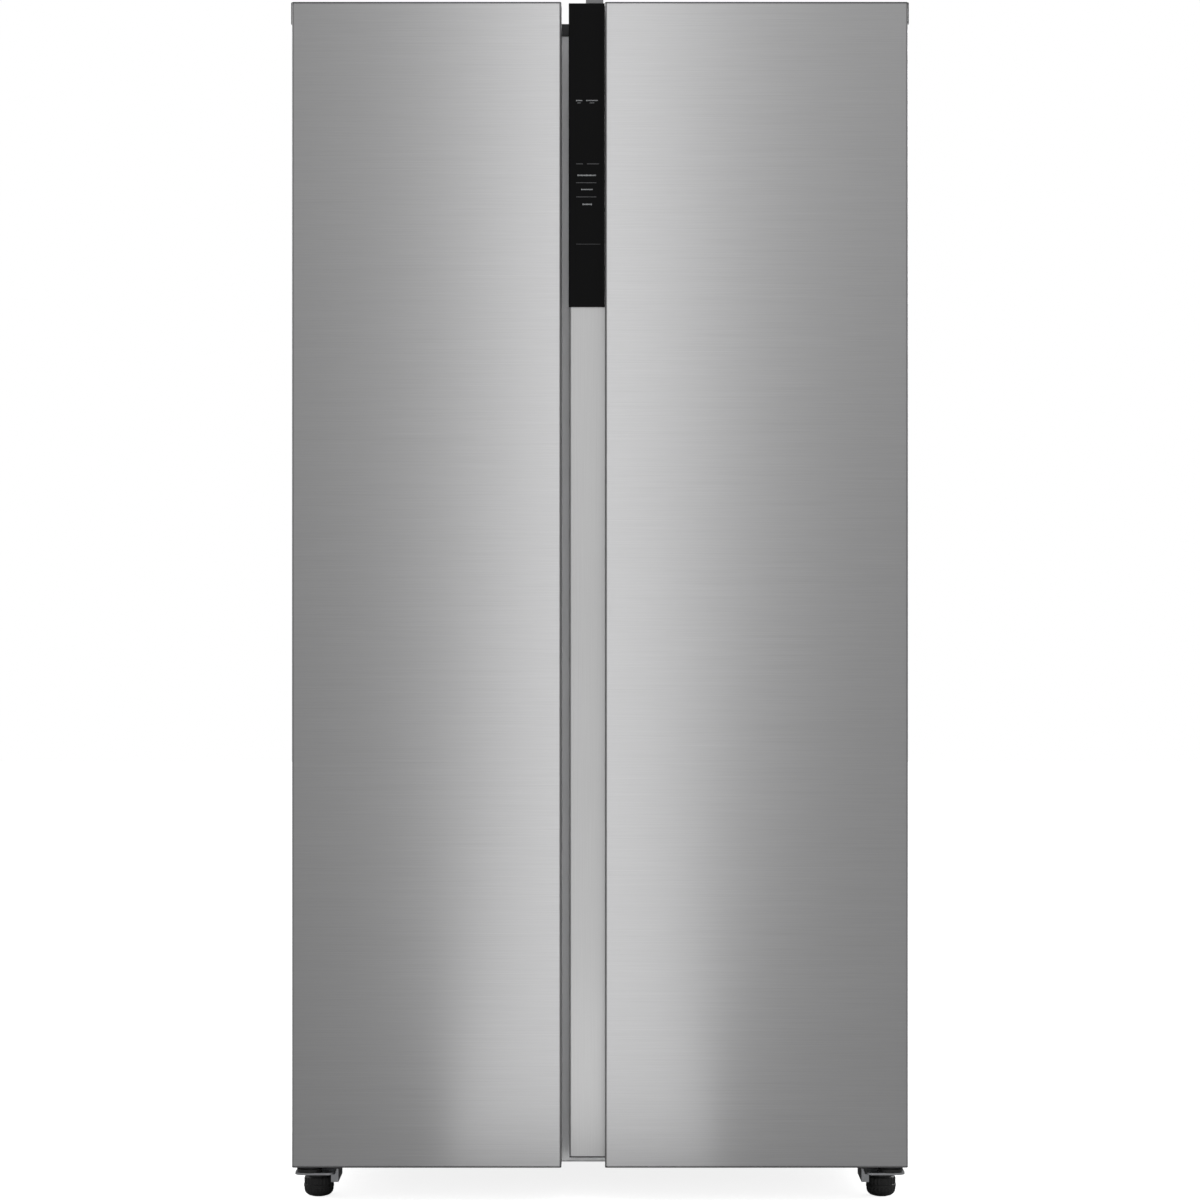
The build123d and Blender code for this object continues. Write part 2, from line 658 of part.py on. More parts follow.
def bottom_hinge(side):
    """A lower hinge bracket: it carries the door's pin and the front foot's nut."""
    inner, bend, outer = side * 389, side * 392, side * 451
    leg_y = (CABINET_FRONT - HINGE_PLATE, CABINET_FRONT)
    plate_y = (PIN[1] - 16, FOOT[1] + 26)
    flange_front = PIN[1] + 18
    flange_z = (28, LOWER_PLATE[1])
    with BuildPart() as bracket:
        block(ordered(bend, outer), plate_y, LOWER_PLATE)
        fillet(bracket.edges().filter_by(Axis.Z).group_by(Axis.Y)[0], 12)
        block(ordered(inner + side * 11, outer), leg_y, (LOWER_PLATE[0], 78))
        block(ordered(inner, bend), (flange_front, plate_y[1]), flange_z)
        block(ordered(inner, inner + side * 11), (flange_front, flange_front + HINGE_PLATE), flange_z)
        post(side * PIN[0], PIN[1], (LOWER_PLATE[0], 76), PIN_RADIUS)
        with BuildSketch(Plane.XY.offset(LOWER_PLATE[1])):
            with Locations((side * FOOT[0], FOOT[1])):
                RegularPolygon(9, 6)
        extrude(amount=CABINET_BOTTOM - LOWER_PLATE[1])
        post(side * FOOT[0], FOOT[1], (LOWER_PLATE[0] - 1, CABINET_BOTTOM + 1), 5.3, mode=Mode.SUBTRACT)
    return bracket.part


def closer_cam(side):
    """The plastic cam between a lower bracket and its door, which pulls the door shut."""
    place = side * PIN[0], PIN[1]
    with BuildPart() as cam:
        post(*place, (LOWER_PLATE[1], LOWER_PLATE[1] + 5), 18.5)
        post(*place, (LOWER_PLATE[1] + 5, DOOR_BOTTOM - 0.5), 15)
        post(*place, (0, CAM_REACH), PIN_RADIUS + SHAFT_FIT, mode=Mode.SUBTRACT)
    return cam.part


def foot(side):
    """A levelling foot: a black knob on a threaded stud."""
    with BuildPart() as leg:
        post(side * FOOT[0], FOOT[1], (0, 30), 22)
        fillet(leg.edges().group_by(Axis.Z)[0], 8.5)
        fillet(leg.edges().group_by(Axis.Z)[-1], 2.5)
        post(side * FOOT[0], FOOT[1], (14, 18), 22.6)
        post(side * FOOT[0], FOOT[1], (30, STUD_TOP), 5)
    return leg.part


def roller_bracket(side):
    """A rear roller's steel fork, with its axle across it."""
    x, y, z = side * ROLLER[0], ROLLER[1], ROLLER[2]
    with BuildPart() as fork:
        block((x - 18, x + 18), (y - 24, y + 24), (CABINET_BOTTOM - 2, CABINET_BOTTOM))
        for cheek in (-15, 15):
            block((x + cheek - 1, x + cheek + 1), (y - 16, y + 16), (10, CABINET_BOTTOM - 2))
        with Locations(Location((x, y, z), (0, 90, 0))):
            Cylinder(AXLE, 36)
    return fork.part


def roller(side):
    """A rear roller."""
    with BuildPart() as wheel:
        with Locations(Location((side * ROLLER[0], ROLLER[1], ROLLER[2]), (0, 90, 0))):
            Cylinder(ROLLER_RADIUS, 22)
            Cylinder(AXLE + SHAFT_FIT, 30, mode=Mode.SUBTRACT)
        chamfer(wheel.edges().filter_by(GeomType.CIRCLE).sort_by(SortBy.RADIUS)[-2:], 1.5)
    return wheel.part


def cabinet_screws():
    """Screws of the upper hinges, the lower brackets and the back covers, one solid each."""
    with BuildPart() as screws:
        for side in (-1, 1):
            for x, y in hinge_screw_places(side):
                post(x, y, (CABINET_TOP + FIT, CABINET_TOP + HINGE_PLATE), 2.8)
                post(x, y, (CABINET_TOP + HINGE_PLATE, CABINET_TOP + HINGE_PLATE + SCREW_HEAD), 5.5)
        for x in (-432, 432):
            for z in (80, 250):
                with Locations(Location((x, CABINET_BACK + 3.1, z), (90, 0, 0))):
                    Cylinder(5, SCREW_HEAD)
        for x in (-108, 108):
            for z in (1532, 1648):
                with Locations(Location((x, REAR - SCREW_HEAD / 2, z), (90, 0, 0))):
                    Cylinder(4, SCREW_HEAD)
    return screws.part


# ---------------------------------------------------------------- doors
def door_skin(door):
    """The stainless sheet: the door face, its hinge side and the folded grip edge."""
    half = SHEET / 2
    hinge, grip = door.side * (HALF_DOORS - half), door.grip + door.side * half
    face, fold = FRONT + half, FRONT + LIP_DEPTH + half
    points = [
        (hinge, DOOR_BACK - DOOR_LINER - 1),
        (hinge, face),
        (grip, face),
        (grip, fold),
        (grip + door.side * 13, fold),
    ]
    section = bent_sheet(points, BEND, SHEET)
    with BuildPart() as skin:
        with BuildSketch(Plane.XY.offset(DOOR_BOTTOM + RIM)):
            add(section)
        extrude(amount=DOOR_TOP - DOOR_BOTTOM - 2 * RIM)
        cut_pocket(door)
    return skin.part


def cut_pocket(door):
    """Clears the room in the top of a door where its upper hinge swings."""
    x = ordered(door.side * POCKET_INNER, door.side * ALL_X[1])
    block(x, (POCKET_FRONT, 0), (POCKET_FLOOR, ALL_Z[1]), mode=Mode.SUBTRACT)


def handle_profile(door):
    """The satin profile behind a grip edge; on the right door it is also the strip between the doors."""
    half = PROFILE / 2
    lip = FRONT + LIP_DEPTH + SHEET + half + 0.05
    end = door.grip + door.side * (GRIP_DEPTH - half)
    floor = door.back + half
    side = door.edge + door.side * half
    points = [
        (door.grip + door.side * 1.5, lip),
        (end, lip),
        (end, floor),
        (side, floor),
        (side, DOOR_BACK - DOOR_LINER - 1),
    ]
    bottom = DOOR_BOTTOM + RIM if door is FREEZER else STRIP_BOTTOM + RIM
    section = bent_sheet(points, (6, 6, 2.2), PROFILE)
    with BuildPart() as profile:
        with BuildSketch(Plane.XY.offset(bottom)):
            add(section)
        extrude(amount=DOOR_TOP - RIM - bottom)
    return profile.part


def core_section(door):
    """The section of a door's filling, its corners eased to clear the bends around it."""
    with BuildSketch(mode=Mode.PRIVATE) as section:
        for x, y in door.core():
            with Locations(((x[0] + x[1]) / 2, (y[0] + y[1]) / 2)):
                Rectangle(x[1] - x[0], y[1] - y[0])
        fillet(section.vertices(), 2)
    return section.sketch


def rim_outline(door, part):
    """A door's outline from above: its body, or the strip beside the right door's body."""
    if part == "body":
        return ordered(door.side * HALF_DOORS, door.grip), (FRONT, DOOR_BACK)
    return (door.edge, door.grip), (door.back, DOOR_BACK)


def top_cap(door):
    """The plastic end cap on top of a door, with the hinge pocket, the pin's bush and a side skirt."""
    z = (DOOR_TOP - CAP_DEPTH, DOOR_TOP - RIM)
    skirt = ordered(door.side * (HALF_DOORS + SKIRT), door.side * HALF_DOORS)
    core = core_section(door)
    with BuildPart() as cap:
        block(*rim_outline(door, "body"), (z[1], DOOR_TOP))
        fillet(cap.edges().filter_by(Axis.Z).group_by(Axis.Y)[0], BEND + 0.5)
        fillet(cap.faces().sort_by(Axis.Z)[-1].edges(), 1)
        if door is FRIDGE:
            block(*rim_outline(door, "strip"), (z[1], DOOR_TOP))
        with BuildSketch(Plane.XY.offset(z[0])):
            add(core)
        extrude(amount=z[1] - z[0])
        for x, y in door.core():
            if y[1] > DOOR_BACK - 10:
                block(x, (y[1] - 5, DOOR_BACK), (POCKET_FLOOR, z[1]))
        block(skirt, (FRONT + 3, DOOR_BACK - 4), (DOOR_TOP - SKIRT_HEIGHT, DOOR_TOP - 0.5))
        cut_pocket(door)
        pin_z = (z[0] - 1, ALL_Z[1])
        post(door.side * PIN[0], PIN[1], pin_z, PIN_RADIUS + SHAFT_FIT, mode=Mode.SUBTRACT)
    return cap.part


def bottom_cap(door):
    """The plastic end cap under a door, with the pin's bush and the closer's cam."""
    z = (DOOR_BOTTOM + RIM, DOOR_BOTTOM + CAP_DEPTH)
    core = core_section(door)
    with BuildPart() as cap:
        block(*rim_outline(door, "body"), (DOOR_BOTTOM, z[0]))
        fillet(cap.edges().filter_by(Axis.Z).group_by(Axis.Y)[0], BEND + 0.5)
        fillet(cap.faces().sort_by(Axis.Z)[0].edges(), 1)
        if door is FRIDGE:
            block(*rim_outline(door, "strip"), (STRIP_BOTTOM, STRIP_BOTTOM + RIM))
        with BuildSketch(Plane.XY.offset(z[0])):
            add(core)
        extrude(amount=z[1] - z[0])
        for x, y in door.core():
            if y[1] > DOOR_BACK - 10:
                block(x, (y[1] - 5, DOOR_BACK), (z[0], DOOR_LINER_Z[0] - FIT))
        if door is FRIDGE:
            block(*rim_outline(door, "strip"), (DOOR_BOTTOM, STRIP_BOTTOM), mode=Mode.SUBTRACT)
        post(door.side * PIN[0], PIN[1], (0, CAM_REACH), PIN_RADIUS + SHAFT_FIT, mode=Mode.SUBTRACT)
    return cap.part


def door_insulation(door):
    """The foam core of a door."""
    bottom, top = DOOR_BOTTOM + CAP_DEPTH, DOOR_TOP - CAP_DEPTH
    core = core_section(door)
    with BuildPart() as foam:
        with BuildSketch(Plane.XY.offset(bottom)):
            add(core)
        extrude(amount=top - bottom)
    return foam.part


def ridge_frame(door, inset, crest):
    """The form of the raised frame inside a door, drawn in by inset all round, up to its crest."""
    x, z = door.ridge()
    middle = ((x[0] + x[1]) / 2, (z[0] + z[1]) / 2)
    size = (x[1] - x[0] - 2 * inset, z[1] - z[0] - 2 * inset)
    band = RIDGE_WIDTH - 2 * inset
    with BuildPart() as frame:
        with BuildSketch(Plane.XZ.offset(-DOOR_BACK)):
            with Locations(middle):
                RectangleRounded(*size, 14 - inset)
                Rectangle(size[0] - 2 * band, size[1] - 2 * band, mode=Mode.SUBTRACT)
        extrude(amount=-(crest - DOOR_BACK))
        fillet(frame.faces().sort_by(Axis.Y)[-1].edges(), 6 - inset)
    return frame.part


def door_liner(door):
    """A door's inner liner, two solids: the flat sheet behind the seal and the hollow raised frame on it."""
    x = ordered(door.side * (HALF_DOORS - SEAM), door.edge + door.side * SEAM)
    outside = ridge_frame(door, 0, RIDGE_BACK)
    inside = ridge_frame(door, DOOR_LINER, RIDGE_BACK - DOOR_LINER)
    with BuildPart() as sheet:
        block(x, (DOOR_BACK - DOOR_LINER, DOOR_BACK), DOOR_LINER_Z)
    with BuildPart() as frame:
        add(outside)
        add(inside, mode=Mode.SUBTRACT)
    return Compound(children=[sheet.part, frame.part])


def bin_supports(door):
    """Brackets on the inner walls of a door's raised frame, a pair under each bin."""
    (left, right), _ = door.ridge()
    left, right = left + RIDGE_WIDTH, right - RIDGE_WIDTH
    reach, y = 10, (DOOR_BACK, DOOR_BACK + 44)
    with BuildPart() as brackets:
        for low in BIN_HEIGHTS:
            block((left, left + reach), y, (low - reach, low))
            block((right - reach, right), y, (low - reach, low))
    return brackets.part


def gasket(door):
    """The door seal: a foot on the liner, two bellows walls and the magnet's pocket."""
    free = door.edge + door.side * 3
    x, z = ordered(door.side * (PIN[0] - 2), free), (82.0, 1724.0)
    middle = ((x[0] + x[1]) / 2, (z[0] + z[1]) / 2)
    rings = [
        (0.0, 16.0, DOOR_BACK, DOOR_BACK + 2.0),
        (2.5, 4.0, DOOR_BACK + 2.0, CABINET_FRONT - 4.5),
        (12.0, 13.5, DOOR_BACK + 2.0, CABINET_FRONT - 4.5),
        (1.5, 14.5, CABINET_FRONT - 4.5, CABINET_FRONT - 1.4),
    ]
    with BuildPart() as seal:
        for outer, inner, start, stop in rings:
            with BuildSketch(Plane.XZ.offset(-start)):
                with Locations(middle):
                    Rectangle(x[1] - x[0] - 2 * outer, z[1] - z[0] - 2 * outer)
                    Rectangle(x[1] - x[0] - 2 * inner, z[1] - z[0] - 2 * inner, mode=Mode.SUBTRACT)
            extrude(amount=-(stop - start))
    return seal.part


def door_bins(door):
    """The bins that rest on the brackets, between the sides of the raised frame, one solid each."""
    ridge_x, _ = door.ridge()
    x = (ridge_x[0] + RIDGE_WIDTH + SEAM, ridge_x[1] - RIDGE_WIDTH - SEAM)
    y = (DOOR_BACK + SEAM, BIN_BACK)
    front_height = BIN_HEIGHT - 22
    tubs = [open_tub(x, y, (low, low + BIN_HEIGHT), BIN_CORNER, 2.5) for low in BIN_HEIGHTS]
    with BuildPart() as bins:
        for low, tub in zip(BIN_HEIGHTS, tubs):
            add(tub)
            above = (low + front_height, low + BIN_HEIGHT + 1)
            block((x[0] - 1, x[1] + 1), (y[0] + 30, y[1] + 1), above, mode=Mode.SUBTRACT)
    return bins.part


def control_panel():
    """The black panel with the touch keys and displays, on the upper part of the strip."""
    x = (FRIDGE.edge - 0.9, FRIDGE.grip - 0.4)
    with BuildPart() as panel:
        block(x, (CHANNEL_FLOOR - PANEL_THICKNESS, CHANNEL_FLOOR), (PANEL_BOTTOM, PANEL_TOP))
        fillet(panel.faces().sort_by(Axis.Y)[0].edges(), 0.8)
    return panel.part


def handle_top_plug():
    """The grey plug that closes the strip's top end, with a raised tab."""
    x, y = (FRIDGE.edge + 0.3, FRIDGE.grip - SEAM), (CHANNEL_FLOOR + FIT, DOOR_BACK - 2)
    tab_x, tab_y = (-21, 5), (CHANNEL_FLOOR + 2, DOOR_BACK - 10)
    with BuildPart() as plug:
        block(x, y, (DOOR_TOP, PANEL_TOP))
        block(tab_x, tab_y, (PANEL_TOP, PANEL_TOP + 8))
        fillet(plug.faces().sort_by(Axis.Z)[-1].edges(), 1)
    return plug.part


def pair(maker):
    """The left and the right piece of a kind, as one group of solids."""
    return Compound(children=[maker(-1), maker(1)])


def cabinet_parts():
    """The cabinet and everything fixed inside it, by name."""
    freezer_flange = (-HALF_CABINET + SIDE_FLANGE + SEAM, FREEZER_X[1] + PLASTIC)
    fridge_flange = (FRIDGE_X[0] - PLASTIC, HALF_CABINET - SIDE_FLANGE - SEAM)
    return {
        "left_side_panel": side_panel(-1),
        "right_side_panel": side_panel(1),
        "top_panel": top_panel(),
        "rear_panel": rear_panel(),
        "base_plate": base_plate(),
        "freezer_liner": liner(FREEZER, freezer_flange),
        "fridge_liner": liner(FRIDGE, fridge_flange),
        "cabinet_insulation": cabinet_insulation(),
        "partition_rail": partition_rail(),
        "top_front_trim": top_front_trim(),
        "shelf_supports": shelf_supports(),
        "glass_shelves": glass_shelves(),
        "shelf_trims": shelf_trims(),
        "freezer_duct_cover": freezer_duct_cover(),
        "fridge_duct_cover": fridge_duct_cover(),
        "interior_lights": interior_lights(),
        "evaporator": evaporator(),
        "compressor": compressor(),
        "condenser_coil": condenser_coil(),
        "drain_tray": drain_tray(),
        "condenser_fan_frame": fan_frame(),
        "machine_cover": machine_cover(),
        "mains_gland": mains_gland(),
        "control_board_cover": control_board_cover(),
        "top_hinges": pair(top_hinge),
        "hinge_covers": pair(hinge_cover),
        "bottom_hinges": pair(bottom_hinge),
        "closer_cams": pair(closer_cam),
        "roller_brackets": pair(roller_bracket),
        "cabinet_screws": cabinet_screws(),
    }


def moving_parts():
    """The pieces that move on the cabinet by themselves, by name."""
    parts = {
        "evaporator_fan": fan(fan_wheel(52, 15, 14), COLD_FAN, (90, 0, 0)),
        "condenser_fan": fan(fan_wheel(62, 18, 16), (WARM_FAN[0] - 5, *WARM_FAN[1:]), (0, 90, 0)),
        "left_foot": foot(-1),
        "right_foot": foot(1),
        "left_rear_roller": roller(-1),
        "right_rear_roller": roller(1),
    }
    for door, kind in ((FREEZER, "freezer"), (FRIDGE, "crisper")):
        lower, upper = drawer_spaces(door)
        parts[f"{kind}_drawer_lower"] = drawer(*lower)
        parts[f"{kind}_drawer_upper"] = drawer(*upper)
    return parts


def door_parts(door):
    """The pieces of one door, by name."""
    return {
        f"{door.name}_door_skin": door_skin(door),
        f"{door.name}_door_liner": door_liner(door),
        f"{door.name}_door_insulation": door_insulation(door),
        f"{door.name}_door_top_cap": top_cap(door),
        f"{door.name}_door_bottom_cap": bottom_cap(door),
        f"{door.name}_door_gasket": gasket(door),
        f"{door.name}_door_bin_supports": bin_supports(door),
        f"{door.name}_door_bins": door_bins(door),
        f"{door.name}_handle_profile": handle_profile(door),
    }


os.makedirs("parts", exist_ok=True)
pieces = {**cabinet_parts(), **moving_parts(), **door_parts(FREEZER), **door_parts(FRIDGE)}
pieces["control_panel"] = control_panel()
pieces["handle_top_plug"] = handle_top_plug()
for piece_name, piece in pieces.items():
    piece.label = piece_name
    export_step(piece, f"parts/{piece_name}.step")
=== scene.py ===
"""The looks of a side by side refrigerator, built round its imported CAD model.

Metres, in the row frame: +Z up, the doors face -Y, the origin on the floor under the body.
"""

import math
import bmesh
import bpy
from mathutils import Matrix, Vector


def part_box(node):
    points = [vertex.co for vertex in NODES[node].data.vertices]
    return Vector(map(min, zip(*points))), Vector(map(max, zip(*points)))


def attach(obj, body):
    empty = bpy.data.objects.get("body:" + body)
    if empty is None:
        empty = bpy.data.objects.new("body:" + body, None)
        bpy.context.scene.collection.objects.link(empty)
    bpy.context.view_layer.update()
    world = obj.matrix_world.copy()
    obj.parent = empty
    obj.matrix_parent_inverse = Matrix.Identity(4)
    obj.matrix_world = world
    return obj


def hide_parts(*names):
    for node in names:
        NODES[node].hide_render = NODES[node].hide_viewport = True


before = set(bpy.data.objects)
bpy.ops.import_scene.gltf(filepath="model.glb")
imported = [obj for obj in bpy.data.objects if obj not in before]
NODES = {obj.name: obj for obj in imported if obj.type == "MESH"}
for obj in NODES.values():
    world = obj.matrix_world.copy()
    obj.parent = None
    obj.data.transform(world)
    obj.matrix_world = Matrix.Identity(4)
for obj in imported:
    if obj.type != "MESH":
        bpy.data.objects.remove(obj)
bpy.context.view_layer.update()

MM = 0.001
SEGMENTS = 48
CLEAR_ALPHA = 0.45  # the rest of the light passes a clear material straight through


# ---------------------------------------------------------------- node materials
class Look:
    """A Principled material with helpers for the procedural detail that goes into it."""

    def __init__(self, name, colour, metallic=0.0, roughness=0.5, **inputs):
        self.material = bpy.data.materials.new(name)
        self.material.use_nodes = True
        self.tree = self.material.node_tree
        self.shader = self.tree.nodes["Principled BSDF"]
        self.colour = (*colour, 1.0)
        self.set("Base Color", self.colour)
        self.set("Metallic", metallic)
        self.set("Roughness", roughness)
        for socket, value in inputs.items():
            self.set(socket.replace("_", " ").title().replace("Ior", "IOR"), value)
        self.height = None

    def set(self, socket, value):
        self.shader.inputs[socket].default_value = value

    def node(self, kind, **values):
        made = self.tree.nodes.new(kind)
        for key, value in values.items():
            setattr(made, key, value)
        return made

    def link(self, a, b):
        self.tree.links.new(a, b)

    def place(self, scale=(1, 1, 1), rotate=(0, 0, 0)):
        """Object coordinates, scaled and turned."""
        coordinates = self.node("ShaderNodeTexCoord")
        mapping = self.node("ShaderNodeMapping")
        mapping.inputs["Scale"].default_value = scale
        mapping.inputs["Rotation"].default_value = rotate
        self.link(coordinates.outputs["Object"], mapping.inputs["Vector"])
        return mapping.outputs["Vector"]

    def noise(self, scale, stretch=(1, 1, 1), detail=4.0, roughness=0.55):
        """Noise with features 1 / scale metres across, stretched along the axes with small factors."""
        made = self.node("ShaderNodeTexNoise")
        made.inputs["Scale"].default_value = scale
        made.inputs["Detail"].default_value = detail
        made.inputs["Roughness"].default_value = roughness
        self.link(self.place(stretch), made.inputs["Vector"])
        return made.outputs["Fac"]

    def cells(self, scale, stretch=(1, 1, 1)):
        """Distance to the nearest of scattered points."""
        made = self.node("ShaderNodeTexVoronoi")
        made.inputs["Scale"].default_value = scale
        self.link(self.place(stretch), made.inputs["Vector"])
        return made.outputs["Distance"]

    def spread(self, value, low, high, source=(0.0, 1.0)):
        """A value spread from its source range to low and high."""
        made = self.node("ShaderNodeMapRange")
        made.inputs["From Min"].default_value, made.inputs["From Max"].default_value = source
        made.inputs["To Min"].default_value, made.inputs["To Max"].default_value = low, high
        self.link(value, made.inputs["Value"])
        return made.outputs["Result"]

    def mix_colour(self, blend, factor, other):
        """Mixes other into the base colour; factor and other are numbers, colours or sockets."""
        mix = self.node("ShaderNodeMix", data_type="RGBA", blend_type=blend)
        share, first, second = (next(s for s in mix.inputs if s.identifier == name)
                                for name in ("Factor_Float", "A_Color", "B_Color"))
        base = self.shader.inputs["Base Color"]
        sources = (share, factor), (second, other)
        if base.is_linked:
            self.link(base.links[0].from_socket, first)
        else:
            first.default_value = self.colour
        for socket, value in sources:
            if isinstance(value, bpy.types.NodeSocket):
                self.link(value, socket)
            else:
                socket.default_value = value
        result = next(s for s in mix.outputs if s.identifier == "Result_Color")
        self.link(result, base)
        return self

    def shade(self, value, low, high, source=(0.3, 0.7)):
        """Multiplies the colour by a factor that runs from low to high with value."""
        factor = self.spread(value, low, high, source)
        return self.mix_colour("MULTIPLY", 1.0, factor)

    def tint(self, value, colour, source=(0.3, 0.7)):
        """Mixes in another colour where value is high."""
        factor = self.spread(value, 0.0, 1.0, source)
        return self.mix_colour("MIX", factor, (*colour, 1.0))

    def rough(self, value, low, high, source=(0.3, 0.7)):
        self.link(self.spread(value, low, high, source), self.shader.inputs["Roughness"])
        return self

    def bump(self, value, depth, strength=1.0):
        """Adds a height of depth metres where value is 1, on top of earlier ones."""
        made = self.node("ShaderNodeBump")
        made.inputs["Strength"].default_value = strength
        made.inputs["Distance"].default_value = depth
        self.link(value, made.inputs["Height"])
        if self.height is not None:
            self.link(self.height, made.inputs["Normal"])
        self.height = made.outputs["Normal"]
        self.link(self.height, self.shader.inputs["Normal"])
        return self

    def edges(self, amount, width):
        """A value of up to amount along edges and 0 elsewhere, found with a bevelled normal."""
        bevel = self.node("ShaderNodeBevel", samples=4)
        bevel.inputs["Radius"].default_value = width
        geometry = self.node("ShaderNodeNewGeometry")
        dot = self.node("ShaderNodeVectorMath", operation="DOT_PRODUCT")
        self.link(bevel.outputs["Normal"], dot.inputs[0])
        self.link(geometry.outputs["Normal"], dot.inputs[1])
        return self.spread(dot.outputs["Value"], amount, 0.0, (0.75, 0.99))

    def worn_edges(self, colour, amount=0.5, width=0.0012):
        """Lighter, rubbed edges."""
        patchy = self.node("ShaderNodeMath", operation="MULTIPLY")
        self.link(self.edges(amount, width), patchy.inputs[0])
        self.link(self.spread(self.noise(60), 0.2, 1.0, (0.35, 0.65)), patchy.inputs[1])
        return self.tint(patchy.outputs[0], colour, (0.0, 1.0))


def stainless():
    """Stainless sheet brushed along X: long fine scratches that smear reflections upright, and a painted
    reflection that darkens its rounded edges.
    """
    look = Look("stainless_sheet", (0.60, 0.60, 0.605), 1.0, 0.32,
                anisotropic=0.85, anisotropic_rotation=0.25)
    tangent = look.node("ShaderNodeTangent", direction_type="RADIAL", axis="Z")
    look.link(tangent.outputs["Tangent"], look.shader.inputs["Tangent"])
    grain = look.noise(1.0, (9, 9, 2600), 3, 0.7)
    long_grain = look.noise(1.0, (2.5, 2.5, 700), 4, 0.6)
    smudge = look.noise(1.8, (1, 1, 0.7), 3)
    look.shade(grain, 0.93, 1.05).shade(long_grain, 0.965, 1.03).shade(smudge, 0.985, 1.01)
    # painted reflection: the rounded edges are darkened, standing in for the dark surroundings that the
    # sheet's bends mirror
    look.tint(look.edges(0.75, 0.0025), (0.10, 0.10, 0.10), (0.0, 1.0))
    look.rough(long_grain, 0.31, 0.35)
    look.bump(grain, 0.00002, 0.5)
    return look.material


def drawn_metal(name, colour, roughness):
    """Metal with fine lines drawn along Z."""
    look = Look(name, colour, 1.0, roughness)
    grain = look.noise(1.0, (2200, 2200, 7), 3, 0.6)
    look.shade(grain, 0.95, 1.04).shade(look.noise(3), 0.98, 1.02)
    look.rough(grain, roughness - 0.03, roughness + 0.05)
    look.bump(grain, 0.00001, 0.4)
    return look.material


def painted_steel(name, colour, roughness=0.42):
    """Powder-coated sheet with a fine orange peel."""
    look = Look(name, colour, 0.0, roughness, coat_weight=0.15, coat_roughness=0.3)
    look.shade(look.noise(2.2), 0.97, 1.03)
    look.rough(look.noise(7), roughness - 0.05, roughness + 0.07)
    look.bump(look.noise(520, detail=2), 0.00006, 0.6)
    return look.material


def galvanised():
    """Zinc-coated steel with its crystal spangle."""
    look = Look("galvanised_sheet", (0.74, 0.75, 0.76), 1.0, 0.42)
    spangle = look.cells(95)
    look.shade(spangle, 0.94, 1.04, (0.1, 0.8)).shade(look.noise(5), 0.95, 1.04)
    look.rough(spangle, 0.34, 0.52, (0.1, 0.8))
    look.bump(look.noise(300), 0.00003, 0.5)
    return look.material


def zinc():
    """Bright zinc plating on pressed steel."""
    look = Look("zinc_plated_steel", (0.60, 0.61, 0.63), 1.0, 0.30)
    look.shade(look.noise(35), 0.92, 1.05)
    look.rough(look.noise(80), 0.24, 0.40)
    look.bump(look.noise(900), 0.00002, 0.5)
    look.worn_edges((0.8, 0.8, 0.8), 0.4)
    return look.material


def plastic(name, colour, roughness, grain=0.00003, grain_scale=1400,
            wear=None, metallic=0.0, specular=0.5):
    """Moulded plastic with its spark-eroded texture; wear is the colour of rubbed edges."""
    look = Look(name, colour, metallic, roughness, specular_ior_level=specular)
    look.shade(look.noise(6), 0.97, 1.03)
    look.rough(look.noise(9), roughness - 0.04, roughness + 0.05)
    look.bump(look.noise(grain_scale, detail=2), grain, 0.7)
    if wear:
        look.worn_edges(wear, 0.45)
    return look.material


def clear_plastic(name, colour, roughness, transmission):
    """Clear moulded polystyrene with faint flow lines."""
    look = Look(name, colour, 0.0, roughness,
                ior=1.45, transmission_weight=transmission, alpha=CLEAR_ALPHA)
    flow = look.noise(5, (1, 1, 3), 2)
    look.rough(flow, roughness - 0.04, roughness + 0.06)
    look.shade(flow, 0.97, 1.01)
    look.bump(look.noise(22, detail=2), 0.0002, 0.25)
    return look.material


def shelf_glass():
    """Tempered glass, faintly green."""
    look = Look("tempered_glass", (0.86, 0.95, 0.92), 0.0, 0.02,
                ior=1.50, transmission_weight=0.96, alpha=CLEAR_ALPHA)
    look.rough(look.noise(7), 0.01, 0.05)
    look.bump(look.noise(4, detail=1), 0.0002, 0.2)
    return look.material


def rubber():
    """Grey extruded vinyl."""
    look = Look("seal_grey", (0.38, 0.39, 0.40), 0.0, 0.62)
    look.shade(look.noise(14), 0.93, 1.04)
    look.bump(look.noise(1100, detail=2), 0.00004, 0.7)
    return look.material


def foam():
    """Cut polyurethane foam with its pores, darkened inside them as painted shade."""
    look = Look("rigid_foam", (0.80, 0.70, 0.42), 0.0, 0.9)
    # painted shade: the pores that the bump below sinks are darkened in the colour too
    look.shade(look.cells(700), 0.8, 1.05, (0.1, 0.7))
    look.bump(look.cells(700), 0.0003, 0.8)
    return look.material


def gloss_black():
    """The touch panel's black glass-like face."""
    look = Look("touch_panel_black", (0.0022, 0.0022, 0.0024), 0.0, 0.09, specular_ior_level=0.035)
    look.rough(look.noise(5), 0.07, 0.12)
    look.bump(look.noise(9, detail=1), 0.00015, 0.15)
    return look.material


def lit_cover():
    """The white cover of a lamp that is on."""
    look = Look("light_cover", (0.9, 0.9, 0.9), 0.0, 0.35,
                emission_color=(0.95, 0.98, 1.0, 1.0), emission_strength=15.0)
    look.shade(look.noise(60), 0.96, 1.02)
    return look.material


def ink(name, colour):
    """Printed legends."""
    look = Look(name, colour, 0.0, 0.45)
    look.shade(look.noise(700, detail=2), 0.9, 1.05)
    return look.material


